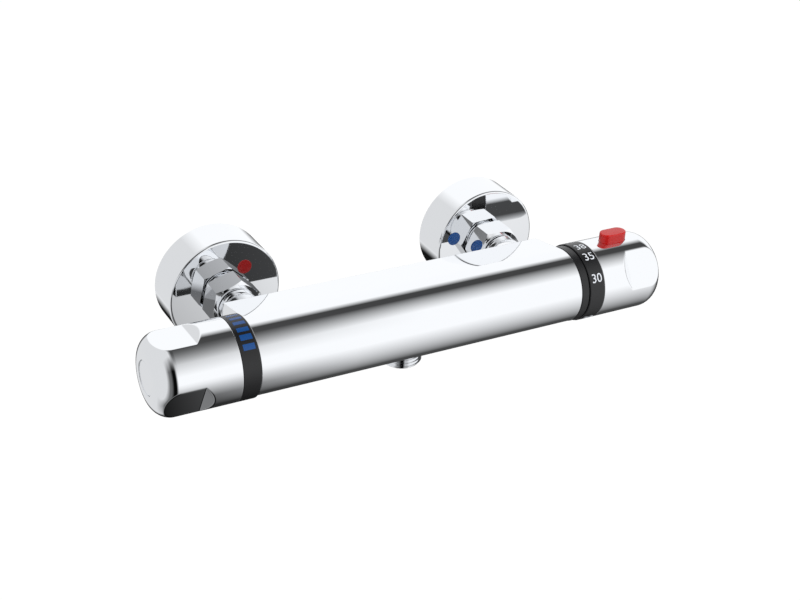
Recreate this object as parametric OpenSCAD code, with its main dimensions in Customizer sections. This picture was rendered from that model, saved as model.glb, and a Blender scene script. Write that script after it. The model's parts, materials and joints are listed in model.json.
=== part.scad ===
// Thermostatic bar shower valve with wall unions, a flow knob and a temperature handle.
// The origin lies on the wall, midway between the two inlets. +Y goes into the wall and +Z is up.
// The hot inlet and the flow knob are at -X, the cold inlet and the temperature handle at +X.

/* [Bar body] */
// Distance from the wall to the bar's axis
bar_setback = 77.5; // [76:0.5:90]
// Diameter of the bar's round front
body_d = 38; // [37:0.5:42]
// Body length from its centre to the flow knob's end
body_flow_len = 89.3; // [86:0.1:96]
// Body length from its centre to the temperature handle's end
body_temp_len = 85.1; // [82:0.1:88]
// Depth from the bar's axis to its flat back
body_back = 26.3; // [25.5:0.1:30]
// Height of the flat back
body_back_h = 28.4; // [26:0.2:34]

/* [Wall unions] */
// Distance between the inlet axes
inlet_spacing = 150; // [146:1:153]
// Outside diameter of the half inch pipe thread
thread_d = 20.956; // [20.8:0.001:21]
// Length of the thread that goes into the wall
wall_thread_len = 15; // [10:1:20]
// Diameter of the wall flange
flange_d = 58; // [50:1:70]
// Depth of the wall flange
flange_depth = 20.5; // [16:0.5:22]
// Wall thickness of the flange
flange_wall = 1.4; // [1:0.1:2]
// Width of the union nut across its flats
nut_af = 24; // [24:0.2:27]
// Length of the union nut
nut_len = 12.5; // [11.5:0.1:14]
// Diameter of the inlet tail between nut and bar
tail_d = 20; // [19:0.1:22]
// Diameter of the round hot and cold markers
marker_d = 7.4; // [4:0.2:9]

/* [Outlet] */
// Distance of the outlet behind the bar's axis
outlet_back = 12; // [11:0.2:13]
// Distance of the outlet's end below the bar's axis
outlet_drop = 30.5; // [30:0.1:36]
// Diameter of the outlet's waterway
outlet_bore_d = 14; // [11:0.2:15]

/* [Knob and handle] */
// Diameter of the knob, the handle and their rings
knob_d = 39.6; // [39:0.1:44]
// Length of the knob and of the handle
knob_len = 38.9; // [37:0.1:46]
// Radius of the knob's rounded end
knob_end_r = 9.6; // [6:0.1:9.7]
// Width of the scale ring and of the dial ring
ring_w = 8.7; // [8:0.1:10]
// Width of the fixed index ring
index_ring_w = 4.2; // [3.9:0.1:4.5]
// Angle that each of the three grip flats takes up
grip_angle = 60; // [40:1:62]
// Diameter of the end caps
cap_d = 16.4; // [12:0.1:17]

/* [Safety button] */
// Length of the button
button_len = 14.7; // [10:0.1:15]
// Width of the button
button_w = 7.8; // [6:0.1:9]
// Height of the button above the handle
button_rise = 4.7; // [3:0.1:6]
// Travel of the button
button_travel = 2; // [1:0.1:2]

/* [Cartridges] */
// Diameter of the flow cartridge's chamber
flow_bore_d = 25; // [25:0.1:26]
// Diameter of the thermostatic cartridge's chamber
temp_bore_d = 27; // [27:0.1:28]
// Diameter of both spindles
spindle_d = 10; // [9:0.1:10.4]
// Teeth on each spindle's spline
spline_teeth = 20; // [12:2:24]

/* [Hidden] */
$fn = 96;
HOT = -1;
COLD = 1;
UP = 90;
QUARTER = 90;
THIRD = 120;

// Clearances: screwed or pressed seats, running fits, gaps between turning and fixed faces
fit_gap = 0.05;
slip_gap = 0.06;
run_gap = 0.3;
// Overrun of every cut
over = 1;

// Undercut at the end of a thread
relief_w = 1.2;
relief_depth = 0.8;

// Wall union and its nut
union_bore_r = 7.5;
union_key_af = 12;
union_key_len = 8;
flange_edge_r = 1.2;
nut_standoff = 1.7;
nut_chamfer = 1.2;
nut_grip = 6.3;
seal_t = 1.7;
tail_collar_t = 2;
tail_neck_r = 8.5;
tail_neck_gap = 0.5;
tail_bore_r = 6.6;
tail_spigot_r = 8.9;
tail_spigot_len = 6;
tail_groove_at = 4.6;
tail_groove_w = 0.8;
tail_groove_depth = 0.7;
marker_t = 0.2;
// The hot marker's gap from the union, the cold marker's inset from the flange's edge, and the
// angle of each on the flange
hot_marker_gap = 2.422;
cold_marker_inset = 8.4;
hot_marker_angle = 53;
cold_marker_angle = 165;
// Angle at which each union nut was left when it was tightened
hot_nut_angle = 17.8;
cold_nut_angle = 3.7;

// Check valve
cage_inset = 1;
cage_len = 14;
cage_wall = 1.2;
seat_t = 1.8;
seat_hole_r = 3.6;
bridge_t = 1.6;
bridge_w = 2.6;
poppet_r = 4.5;
poppet_t = 1.8;
poppet_stem_r = 1.1;
poppet_travel = 2.5;
poppet_nose_r = 3.2;
poppet_nose_len = 1.2;
check_coil_r = 2.6;
check_wire_r = 0.3;
check_turns = 5;

// Waterways in the body, as places behind and above the bar's axis
mixed_bore_r = 5;
mixed_bore_y = -4;
hot_way_r = 2.8;
hot_way = [17.3, 6];
outlet_way_r = 3;
outlet_way = [16, -8];
cold_port_r = 3;
port_step = 0.4;
socket_pocket = 6;
side_lead = 3;

// Outlet nipple, its heights measured below the bar's axis
nipple_spigot_r = 9;
nipple_spigot_top = 9.5;
nipple_shoulder = 14.5;
relief_top = 19.3;
outlet_seal_t = 1;

// Flow cartridge, from the chamber's bottom outwards
flow_chamber_len = 46;
flow_seal_t = 2;
flow_seal_w = 2.8;
disc_t = 3.5;
disc_r = 9.9;
disc_hole_r = 2.4;
disc_hole_at = 5.2;
disc_gap = 0.05;
drive_w = 3;
drive_depth = 1.5;
drive_len = 18;
drive_rise = 2;
disc_room = 3.5;
housing_skirt_r = 11.2;
housing_skirt_len = 15;
window_r = 2.2;
head_hex_r = 10.9;
head_len = 5.7;
oring_r = 0.9;
spindle_oring_r = 0.6;
spindle_oring_places = [8, 14];
clip_t = 0.8;
clip_w = 3;
clip_gap_w = 6;
clip_lip = 0.4;
stop_wall = 1.9;
stop_inner_r = 8.6;
stop_ring_t = 1.8;
stop_lug_angle = 30;
stop_margin_angle = 3;
flow_travel = 90;
spline_depth = 0.5;
spline_inset = 0.3;
spline_short = 2.2;
tap_r = 2.05;
tap_depth = 1.3;

// Thermostatic cartridge, measured inwards from the body's temperature end
temp_end_gap = 2;
thermo_len = 49;
thermo_tube_r = 12.2;
thermo_bore_r = 10;
thermo_lip_r = 7.9;
thermo_lip_t = 1.5;
land_w = 4;
// Distance of each sealing land's inner end from the cartridge's inner end
land_places = [0, 19, 44.5];
hot_window_at = 11.9;
cold_window_at = 29.9;
window_count = 6;
thermo_window_r = 2;
barrel_room_at = 33;
barrel_r = 7;
barrel_len = 10;
stem_bore_at = 43.5;
cold_port_inset = 15.6;
shuttle_at = 15.9;
shuttle_len = 10.5;
shuttle_wall = 1.35;
shuttle_web_at = 4;
shuttle_web_t = 2;
shuttle_hole_r = 1;
shuttle_hole_at = 7.2;
bulb_r = 4.5;
bulb_inset = 1.4;
bulb_collar_r = 6;
bulb_collar_t = 2;
wax_guide_r = 3;
wax_guide_len = 4.5;
wax_rod_r = 1.2;
wax_rod_len = 3;
adjuster_r = 4;
adjuster_len = 8;
return_coil_r = 7.2;
return_wire_r = 0.55;
return_turns = 7;
nut_thread_len = 7;
nut_collar_r = 14.1;
nut_neck_r = 9;
nut_neck_len = 6;
key_slot_w = 3;
stop_track_t = 4;
stop_track_r = 14;
track_wall = 2;
track_len = 3;
rib_angle = 30;
rib_depth = 3;
hotter_travel = 62;
colder_travel = 141;
index_ring_r = 19.2;

// Knob and handle
ring_wall = 2.6;
skirt_wall = 1.9;
grip_run_out = 4.5;
grip_start = 13.2;
hub_r = 8;
hub_start = 0.7;
hub_len = 21;
insert_r = 6.8;
insert_inset = 0.9;
insert_len = 9;
hub_web_t = 3.5;
screw_r = 1.95;
screw_hole_r = 2.2;
screw_head_r = 3.5;
screw_head_h = 2.4;
screw_len = 13;
screw_slot_w = 0.9;
screw_slot_depth = 1.2;
counterbore_r = 4;
cap_recess = 1.6;
cap_t = 1.2;
cap_plug_len = 5;
cap_edge = 0.4;
flow_grip_angle = 92;

// Safety button
button_at = 15.9;
guide_wall = 1;
slot_lip = 1.8;
lip_gap = 0.15;
button_foot_t = 1.7;
button_foot_edge = 0.8;
button_coil_r = 2.3;
button_wire_r = 0.35;
button_turns = 4;
button_seat_r = 7.6;
button_pocket_r = 3.2;

// Derived sizes and places
bar_y = -bar_setback;
body_r = body_d / 2;
back_half = body_back_h / 2;
thread_r = thread_d / 2;
knob_r = knob_d / 2;
nut_start = flange_depth + nut_standoff;
nut_end = nut_start + nut_len;
union_end = nut_start + nut_grip;
collar_start = union_end + seal_t;
collar_end = collar_start + tail_collar_t;
nut_bore_r = thread_r + fit_gap;
nut_corner_r = nut_af / sqrt(3);
tail_start = nut_end + tail_neck_gap;
tail_seat = bar_setback - body_back;
tail_end = tail_seat + tail_spigot_len;
cage_start = tail_start + cage_inset;
cage_end = cage_start + cage_len;
cage_r = tail_bore_r - fit_gap;
cage_bore_r = cage_r - cage_wall;
poppet_start = cage_start + seat_t + fit_gap;
poppet_end = poppet_start + poppet_t;
bridge_start = cage_end - bridge_t;
flow_bore_r = flow_bore_d / 2;
temp_bore_r = temp_bore_d / 2;
flow_bottom = body_flow_len - flow_chamber_len;
fixed_disc_at = flow_bottom + flow_seal_t;
turning_disc_at = fixed_disc_at + disc_t + disc_gap;
drive_at = turning_disc_at + disc_t - drive_depth + fit_gap;
stem_at = turning_disc_at + disc_t + drive_rise;
disc_room_end = stem_at + disc_room;
flow_window_at = (stem_at + turning_disc_at + disc_t + disc_room_end) / 3;
skirt_end = fixed_disc_at + housing_skirt_len;
head_end = body_flow_len + head_len;
flow_stop_at = head_end + clip_t + 2 * fit_gap + clip_lip;
spindle_r = spindle_d / 2;
stem_bore_r = spindle_r + slip_gap;
flow_ring_at = body_flow_len + run_gap;
flow_knob_at = flow_ring_at + ring_w;
spline_r = spindle_r - spline_inset;
thermo_start = body_temp_len - nut_thread_len - thermo_len;
thermo_end = thermo_start + thermo_len;
temp_bottom = thermo_start - temp_end_gap;
temp_ring_at = body_temp_len + index_ring_w + run_gap;
temp_knob_at = temp_ring_at + ring_w;
temp_nut_face = body_temp_len + index_ring_w - run_gap;
ring_bore_r = knob_r - ring_wall;
knob_skirt_r = ring_bore_r - fit_gap;
knob_cavity_r = knob_skirt_r - skirt_wall;
grip_r = knob_r * cos(grip_angle / 2);
shuttle_start = thermo_start + shuttle_at;
shuttle_web = shuttle_start + shuttle_web_at;
wax_start = thermo_start + bulb_inset;
wax_rod_start = shuttle_web + shuttle_web_t + wax_guide_len;
adjuster_start = wax_rod_start + wax_rod_len;
barrel_start = thermo_start + barrel_room_at + slip_gap;
outlet_y = bar_y + outlet_back;
outlet_seal_top = nipple_shoulder - outlet_seal_t;
button_mid = temp_knob_at + button_at;
stop_track_end = temp_nut_face + stop_track_t;
rib_mid = -UP;
button_foot_r = knob_cavity_r - run_gap;

// Puts its children on the inlet axis of one side, with +Z pointing away from the wall
module on_inlet(side) {
    translate([side * inlet_spacing / 2, 0, 0]) rotate([QUARTER, 0, 0]) children();
}

// Puts its children on the bar's axis
module on_bar() {
    translate([0, bar_y, 0]) children();
}

// Puts its children on the bar's axis, mirrored to the flow end
module on_flow_end() {
    on_bar() mirror([1, 0, 0]) children();
}

// Turns a child drawn at the top of the bar to an angle measured from the front upwards
module at_angle(angle) {
    rotate([UP - angle, 0, 0]) children();
}

// Round bar along the bar's axis, from start to end
module rod(start, end, r) {
    translate([start, 0, 0]) rotate([0, QUARTER, 0]) cylinder(h = end - start, r = r);
}

// Ring along the bar's axis, from start to end
module sleeve(start, end, r, bore_r) {
    difference() {
        rod(start, end, r);
        rod(start - over, end + over, bore_r);
    }
}

// Round bar or ring on an inlet's axis, from start to end
module post(start, end, r) {
    translate([0, 0, start]) cylinder(h = end - start, r = r);
}

module collar(start, end, r, bore_r) {
    difference() {
        post(start, end, r);
        post(start - over, end + over, bore_r);
    }
}

// Rubber ring of round section about the bar's axis
module oring(place, mid_r, section_r) {
    translate([place, 0, 0]) rotate([0, QUARTER, 0])
        rotate_extrude() translate([mid_r, 0]) circle(r = section_r);
}

// Hexagonal bar on the local Z axis
module hex_post(start, end, corner_r) {
    translate([0, 0, start]) cylinder(h = end - start, r = corner_r, $fn = 6);
}

// Toothed outline of a spline, wider by gap
module spline_outline(gap) {
    tip = spline_r + gap;
    root = spline_r - spline_depth + gap;
    polygon([for (i = [0 : 2 * spline_teeth - 1])
        let (r = i % 2 == 0 ? tip : root, a = i * QUARTER * 2 / spline_teeth)
        [r * cos(a), r * sin(a)]]);
}

module spline_bar(start, end, gap) {
    translate([start, 0, 0]) rotate([0, QUARTER, 0])
        linear_extrude(end - start) spline_outline(gap);
}

// Slot outline with round ends, its length along X
module slot_outline(length, width) {
    square([length - width, width], center = true);
    for (end = [-1, 1]) translate([end * (length - width) / 2, 0]) circle(d = width);
}

// Coil spring on the local Z axis, from 0 to height, as one unbroken wire
module coil_spring(coil_r, wire_r, height, turns) {
    sides = 6;
    steps = 8;
    last = turns * steps;
    rise = height - 2 * wire_r;
    full = 4 * QUARTER;
    points = [for (i = [0 : last], k = [0 : sides - 1])
        let (a = full * i / steps, b = full * k / sides,
             r = coil_r + wire_r * cos(b), z = wire_r + rise * i / last + wire_r * sin(b))
        [r * cos(a), r * sin(a), z]];
    tube = [for (i = [0 : last - 1], k = [0 : sides - 1])
        let (n = (k + 1) % sides, p = i * sides, q = p + sides)
        each [[p + k, q + n, q + k], [p + k, p + n, q + n]]];
    first_end = [for (k = [1 : sides - 2]) [0, k + 1, k]];
    last_end = [for (k = [1 : sides - 2]) [last * sides, last * sides + k, last * sides + k + 1]];
    polyhedron(points = points, faces = concat(tube, first_end, last_end));
}

module wall_union(side) color("silver") on_inlet(side) difference() {
    post(-wall_thread_len, union_end, thread_r);
    post(-wall_thread_len - over, union_end + over, union_bore_r - over);
    hex_post(-wall_thread_len - over, union_key_len - wall_thread_len, union_key_af / sqrt(3));
    post(union_key_len - wall_thread_len, union_end + over, union_bore_r);
    collar(0, relief_w, thread_r + over, thread_r - relief_depth);
}

module wall_flange(side) color("gainsboro") on_inlet(side) difference() {
    rotate_extrude() {
        square([flange_d / 2, flange_depth - flange_edge_r]);
        square([flange_d / 2 - flange_edge_r, flange_depth]);
        translate([flange_d / 2 - flange_edge_r, flange_depth - flange_edge_r])
            circle(r = flange_edge_r);
    }
    post(-over, flange_depth - flange_wall, flange_d / 2 - flange_wall);
    post(-over, flange_depth + over, thread_r + fit_gap);
}

module marker(side, reach, angle) {
    on_inlet(side) rotate([0, 0, angle]) translate([reach, 0, flange_depth])
        cylinder(h = marker_t, d = marker_d);
}

module hot_marker() color("firebrick")
    marker(HOT, thread_r + hot_marker_gap + marker_d / 2, hot_marker_angle);

module cold_marker() color("navy")
    marker(COLD, flange_d / 2 - cold_marker_inset, cold_marker_angle);

module union_nut(side, turn) color("gainsboro") on_inlet(side) difference() {
    intersection() {
        rotate([0, 0, turn]) hex_post(nut_start, nut_end, nut_corner_r);
        rotate_extrude() polygon([
            [0, nut_start], [nut_af / 2, nut_start], [nut_corner_r, nut_start + nut_chamfer],
            [nut_corner_r, nut_end - nut_chamfer], [nut_af / 2, nut_end], [0, nut_end]]);
    }
    post(nut_start - over, collar_end + fit_gap, nut_bore_r);
    post(nut_start, nut_end + over, tail_neck_r + fit_gap);
}

module inlet_seal(side) color("dimgray") on_inlet(side)
    collar(union_end, collar_start, thread_r - fit_gap, union_bore_r);

module inlet_tail(side) color("silver") on_inlet(side) difference() {
    union() {
        post(collar_start, collar_end, thread_r - fit_gap);
        post(collar_start, tail_end, tail_neck_r);
        post(tail_start, tail_seat, tail_d / 2);
        post(tail_seat, tail_end, tail_spigot_r);
    }
    post(collar_start - over, tail_end + over, tail_bore_r);
    collar(tail_start + tail_groove_at, tail_start + tail_groove_at + tail_groove_w,
           tail_d / 2 + over, tail_d / 2 - tail_groove_depth);
}

module check_cage(side) color("ivory") on_inlet(side) {
    collar(cage_start, cage_end, cage_r, cage_bore_r);
    collar(cage_start, cage_start + seat_t, cage_r, seat_hole_r);
    difference() {
        intersection() {
            translate([-cage_r, -bridge_w / 2, bridge_start]) cube([2 * cage_r, bridge_w, bridge_t]);
            post(bridge_start, cage_end, cage_r);
        }
        post(bridge_start - over, cage_end + over, poppet_stem_r + slip_gap);
    }
}

module check_poppet(side) color("orange") on_inlet(side) {
    post(poppet_start - poppet_nose_len, poppet_end, poppet_nose_r);
    post(poppet_start, poppet_end, poppet_r);
    post(poppet_start, cage_end, poppet_stem_r);
}

module check_spring(side) color("lightsteelblue") on_inlet(side)
    translate([0, 0, poppet_end + fit_gap])
        coil_spring(check_coil_r, check_wire_r, bridge_start - poppet_end - 2 * fit_gap, check_turns);

// Straight sides that run from the round front back to the flat rear face, in Y and Z.
// They start just inside the round, so that each meets it in one clean edge.
module body_sides() {
    reach = norm([body_back, back_half]);
    touch = atan2(back_half, body_back) + acos(body_r / reach);
    start = body_r * cos(side_lead) * [cos(touch), sin(touch)];
    polygon([start, [body_back, back_half], [body_back, -back_half], [start[0], -start[1]]]);
}

// Waterway along the bar at a place behind and above its axis
module waterway(start, end, place, r) {
    translate([0, place[0], place[1]]) rod(start, end, r);
}

// Radial port from the bar's axis out to a waterway, a little narrower than the waterway
module port(at, place, way_r) {
    translate([at, 0, 0]) rotate([atan2(place[1], place[0]) - QUARTER, 0, 0])
        cylinder(h = norm(place), r = way_r - port_step);
}

// Upright hole or bar on the outlet's axis, between two depths below the bar's axis
module drop(low, high, r) {
    translate([0, outlet_y, -low]) cylinder(h = low - high, r = r);
}

module body_block() {
    on_bar() rod(-body_flow_len, body_temp_len, body_r);
    on_bar() rotate([QUARTER, 0, QUARTER]) translate([0, 0, -body_flow_len])
        linear_extrude(body_flow_len + body_temp_len) body_sides();
}

module body_waterways() {
    hot_port_at = thermo_start + hot_window_at;
    on_bar() {
        rod(-body_flow_len - over, -flow_bottom, flow_bore_r);
        rod(temp_bottom, body_temp_len + over, temp_bore_r);
        waterway(-flow_bottom - over, temp_bottom + over, [mixed_bore_y, 0], mixed_bore_r);
        waterway(-inlet_spacing / 2, hot_port_at + hot_way_r, hot_way, hot_way_r);
        port(hot_port_at, hot_way, hot_way_r);
        waterway(-flow_window_at - outlet_way_r, 0, outlet_way, outlet_way_r);
        port(-flow_window_at, outlet_way, outlet_way_r);
        translate([body_temp_len - cold_port_inset, 0, 0]) rotate([-QUARTER, 0, 0])
            cylinder(h = body_back - tail_spigot_len, r = cold_port_r);
    }
    for (side = [HOT, COLD]) on_inlet(side) {
        post(tail_seat - over, tail_end + fit_gap, tail_spigot_r + fit_gap);
        post(tail_seat, tail_end + socket_pocket, tail_bore_r);
    }
    drop(outlet_drop, outlet_seal_top, thread_r + fit_gap);
    drop(outlet_drop, nipple_spigot_top - fit_gap, nipple_spigot_r + fit_gap);
    drop(outlet_drop, -outlet_way[1] - outlet_way_r, outlet_bore_d / 2);
}

module valve_body() color("silver") difference() {
    body_block();
    body_waterways();
}

module outlet_seal() color("dimgray") difference() {
    drop(nipple_shoulder, outlet_seal_top, thread_r - fit_gap);
    drop(nipple_shoulder + over, outlet_seal_top - over, nipple_spigot_r + fit_gap);
}

module outlet_nipple() color("silver") difference() {
    union() {
        drop(outlet_drop, nipple_shoulder, thread_r);
        drop(outlet_drop, nipple_spigot_top, nipple_spigot_r);
    }
    drop(outlet_drop + over, nipple_spigot_top - over, outlet_bore_d / 2);
    difference() {
        drop(relief_top + relief_w, relief_top, thread_r + over);
        drop(relief_top + relief_w + over, relief_top - over, thread_r - relief_depth);
    }
}

module flow_seal() color("dimgray") on_flow_end()
    sleeve(flow_bottom, fixed_disc_at, disc_r + slip_gap + flow_seal_w / 2, disc_r - flow_seal_w / 2);

// Two waterholes of a ceramic disc, on a line at an angle
module disc_holes(at, angle) {
    for (turn = [angle, angle + 2 * QUARTER]) at_angle(turn)
        translate([0, 0, disc_hole_at]) rod(at - over, at + disc_t + over, disc_hole_r);
}

module flow_fixed_disc() color("white") on_flow_end() difference() {
    rod(fixed_disc_at, fixed_disc_at + disc_t, disc_r);
    disc_holes(fixed_disc_at, 0);
}

module flow_turning_disc() color("wheat") on_flow_end() difference() {
    rod(turning_disc_at, turning_disc_at + disc_t, disc_r);
    disc_holes(turning_disc_at, UP);
    translate([turning_disc_at + disc_t - drive_depth, -disc_r, -drive_w / 2])
        cube([disc_t, 2 * disc_r, drive_w]);
}

// Part of a ring across the bar, between two angles from the top towards the front
module ring_sector(start, end, outer_r, inner_r, from, to) {
    steps = 24;
    translate([start, 0, 0]) rotate([0, QUARTER, 0]) rotate([0, 0, QUARTER * 2]) intersection() {
        difference() {
            cylinder(h = end - start, r = outer_r);
            translate([0, 0, -over]) cylinder(h = end - start + 2 * over, r = inner_r);
        }
        linear_extrude(end - start) polygon(concat([[0, 0]],
            [for (i = [0 : steps]) let (a = from + (to - from) * i / steps)
             2 * outer_r * [cos(a), sin(a)]]));
    }
}

module flow_cartridge_housing() color("goldenrod") on_flow_end() {
    difference() {
        union() {
            rod(fixed_disc_at, skirt_end, housing_skirt_r);
            rod(skirt_end, body_flow_len, flow_bore_r - fit_gap);
            translate([body_flow_len, 0, 0]) rotate([0, QUARTER, 0])
                cylinder(h = head_len, r = head_hex_r, $fn = 6);
        }
        rod(fixed_disc_at - over, disc_room_end, disc_r + slip_gap);
        rod(disc_room_end - over, head_end + over, stem_bore_r);
        for (turn = [0, 2 * QUARTER]) at_angle(turn)
            translate([flow_window_at, 0, 0]) cylinder(h = flow_bore_r, r = window_r);
        sleeve(skirt_end + 2 * oring_r, skirt_end + 4 * oring_r, flow_bore_r,
               flow_bore_r - 2 * oring_r - fit_gap);
    }
    ring_sector(head_end - fit_gap, flow_stop_at + stop_ring_t, stop_inner_r + stop_wall,
                stop_inner_r, stop_lug_angle / 2 + stop_margin_angle,
                4 * QUARTER - flow_travel - stop_lug_angle / 2 - stop_margin_angle);
}

module flow_housing_oring() color("dimgray") on_flow_end()
    oring(skirt_end + 3 * oring_r, flow_bore_r - oring_r - fit_gap / 2, oring_r - fit_gap / 2);

// Stem of a spindle with its spline and tapped end, for a knob that starts at a place
module spindle_stem(start, spline_start, knob_at) {
    end = knob_at + insert_inset + insert_len - spline_short;
    difference() {
        union() {
            rod(start, spline_start, spindle_r);
            spline_bar(spline_start, end, 0);
        }
        rod(knob_at - tap_depth, end + over, tap_r);
    }
}

module spindle_groove(place) {
    sleeve(place - spindle_oring_r - fit_gap, place + spindle_oring_r + fit_gap,
           spindle_r + over, spindle_r - 2 * spindle_oring_r);
}

module flow_spindle() color("goldenrod") on_flow_end() {
    translate([drive_at, -drive_len / 2, -drive_w / 2 + fit_gap])
        cube([stem_at - drive_at + drive_rise / 2, drive_len, drive_w - 2 * fit_gap]);
    difference() {
        spindle_stem(stem_at, flow_stop_at, flow_knob_at);
        for (place = spindle_oring_places) spindle_groove(disc_room_end + place);
        sleeve(head_end + fit_gap, head_end + 2 * fit_gap + clip_t, spindle_r + over,
               spindle_r - clip_t);
    }
}

module flow_spindle_orings() color("dimgray") on_flow_end()
    for (place = spindle_oring_places)
        oring(disc_room_end + place, spindle_r - spindle_oring_r, spindle_oring_r - fit_gap / 2);

module flow_spindle_clip() color("slategray") on_flow_end() difference() {
    sleeve(head_end + fit_gap, head_end + fit_gap + clip_t, spindle_r - clip_t + clip_w,
           spindle_r - clip_t + fit_gap / 2);
    translate([head_end, -clip_gap_w / 2, 0]) cube([2 * clip_t, clip_gap_w, spindle_d]);
}

module flow_stop_ring() color("ivory") on_flow_end() {
    start = flow_stop_at + fit_gap;
    end = flow_stop_at + stop_ring_t;
    difference() {
        rod(start, end, stop_inner_r - run_gap);
        spline_bar(start - over, end + over, fit_gap);
    }
    ring_sector(start, end, stop_inner_r + stop_wall - run_gap, stop_inner_r - 2 * run_gap,
                -stop_lug_angle / 2, stop_lug_angle / 2);
}

// Printed ring that is pressed on the knob's skirt
module knob_ring(start) {
    sleeve(start, start + ring_w, knob_r, ring_bore_r);
}

module flow_scale_ring() color("black") on_flow_end() knob_ring(flow_ring_at);

module temp_dial_ring() color("black") on_bar() knob_ring(temp_ring_at);

// Outside of a knob as a half section: radius in X, length in Y
module knob_section() {
    square([knob_r, knob_len - knob_end_r]);
    square([knob_r - knob_end_r, knob_len]);
    translate([knob_r - knob_end_r, knob_len - knob_end_r]) circle(r = knob_end_r);
}

// Cutter for one grip flat at the top of a knob, with a sloping run-out
module grip_cut() {
    rise = knob_r + over - grip_r;
    slope = grip_run_out * rise / (knob_r - grip_r);
    rotate([QUARTER, 0, 0]) translate([0, 0, -knob_r]) linear_extrude(knob_d) polygon([
        [grip_start + grip_run_out, grip_r], [knob_len + over, grip_r],
        [knob_len + over, knob_r + over], [grip_start + grip_run_out - slope, knob_r + over]]);
}

// Knob shell with three grip flats, the first at an angle, starting at a place on the bar
module knob_shell(start, first_grip) {
    hub_end = hub_start + hub_len;
    seat = insert_inset + insert_len + hub_web_t;
    translate([start, 0, 0]) difference() {
        union() {
            rotate([0, QUARTER, 0]) rotate_extrude() knob_section();
            rod(-ring_w + run_gap, over, knob_skirt_r);
        }
        for (i = [0 : 2]) at_angle(first_grip + i * THIRD) grip_cut();
        sleeve(-ring_w - over, hub_end, knob_cavity_r, hub_r);
        rod(-ring_w - over, hub_start, hub_r + over);
        rod(-ring_w - over, insert_inset + insert_len, insert_r + fit_gap);
        rod(0, knob_len + over, screw_hole_r);
        rod(seat, knob_len + over, counterbore_r);
        rod(knob_len - cap_recess, knob_len + over, cap_d / 2 + fit_gap);
    }
}

module flow_knob() color("gainsboro") on_flow_end() knob_shell(flow_knob_at, flow_grip_angle);

// Splined sleeve between a spindle and its knob
module knob_insert(start) color("ivory") difference() {
    rod(start + insert_inset, start + insert_inset + insert_len, insert_r);
    spline_bar(start, start + insert_inset + insert_len + over, fit_gap);
}

// Screw that holds a knob on its spindle
module knob_screw(start) color("slategray") {
    seat = start + insert_inset + insert_len + hub_web_t;
    rod(seat - screw_len, seat, screw_r);
    difference() {
        rod(seat, seat + screw_head_h, screw_head_r);
        for (turn = [0, QUARTER]) at_angle(turn)
            translate([seat + screw_head_h - screw_slot_depth, -screw_slot_w / 2, -screw_head_r / 2])
                cube([screw_head_h, screw_slot_w, screw_head_r]);
    }
}

// Cap that closes a knob's end, with a plug in the screw's counterbore
module knob_cap(start) color("gainsboro") {
    floor_at = start + knob_len - cap_recess;
    rod(floor_at - cap_plug_len, floor_at, counterbore_r - fit_gap);
    translate([floor_at, 0, 0]) rotate([0, QUARTER, 0]) {
        cylinder(h = cap_t - cap_edge, d = cap_d);
        translate([0, 0, cap_t - cap_edge])
            cylinder(h = cap_edge, r1 = cap_d / 2, r2 = cap_d / 2 - cap_edge);
    }
}

module flow_knob_insert() on_flow_end() knob_insert(flow_knob_at);

module flow_knob_screw() on_flow_end() knob_screw(flow_knob_at);

module flow_knob_cap() on_flow_end() knob_cap(flow_knob_at);

module thermostat_housing() color("goldenrod") on_bar() difference() {
    union() {
        rod(thermo_start, thermo_end, thermo_tube_r);
        for (place = land_places)
            rod(thermo_start + place, thermo_start + place + land_w, temp_bore_r - fit_gap);
    }
    for (place = land_places)
        sleeve(thermo_start + place + land_w / 2 - oring_r, thermo_start + place + land_w / 2 + oring_r,
               temp_bore_r + over, temp_bore_r - 2 * oring_r - fit_gap);
    rod(thermo_start - over, thermo_end, thermo_lip_r);
    rod(thermo_start + thermo_lip_t, thermo_start + barrel_room_at, thermo_bore_r);
    rod(thermo_start + barrel_room_at - over, thermo_start + stem_bore_at, barrel_r + slip_gap);
    rod(thermo_start + stem_bore_at - over, thermo_end + over, stem_bore_r);
    for (place = [hot_window_at, cold_window_at], i = [0 : window_count - 1])
        at_angle(i * 4 * QUARTER / window_count) translate([thermo_start + place, 0, 0])
            cylinder(h = temp_bore_r, r = thermo_window_r);
}

module thermostat_orings() color("dimgray") on_bar()
    for (place = land_places)
        oring(thermo_start + place + land_w / 2, temp_bore_r - oring_r - fit_gap / 2,
              oring_r - fit_gap / 2);

module regulating_shuttle() color("wheat") on_bar() {
    shuttle_r = thermo_bore_r - slip_gap;
    sleeve(shuttle_start, shuttle_start + shuttle_len, shuttle_r, shuttle_r - shuttle_wall);
    difference() {
        rod(shuttle_web, shuttle_web + shuttle_web_t, shuttle_r - fit_gap);
        rod(shuttle_web - over, shuttle_web + shuttle_web_t + over, wax_guide_r + fit_gap);
        for (i = [0 : window_count - 1]) at_angle(i * 4 * QUARTER / window_count)
            translate([0, 0, shuttle_hole_at - 2 * shuttle_hole_r])
                rod(shuttle_web - over, shuttle_web + shuttle_web_t + over, shuttle_hole_r);
    }
}

module wax_element() color("darkgoldenrod") on_bar() {
    rod(wax_start, shuttle_web - bulb_collar_t, bulb_r);
    rod(shuttle_web - bulb_collar_t, shuttle_web, bulb_collar_r - return_wire_r);
    rod(shuttle_web, wax_rod_start, wax_guide_r);
    rod(wax_rod_start, adjuster_start, wax_rod_r);
}

module adjuster_piston() color("ivory") on_bar()
    rod(adjuster_start, adjuster_start + adjuster_len, adjuster_r);

module return_spring() color("lightsteelblue") on_bar()
    translate([thermo_start + thermo_lip_t + fit_gap, 0, 0]) rotate([0, QUARTER, 0])
        coil_spring(return_coil_r, return_wire_r,
                    shuttle_web - thermo_start - thermo_lip_t - 2 * fit_gap, return_turns);

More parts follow.
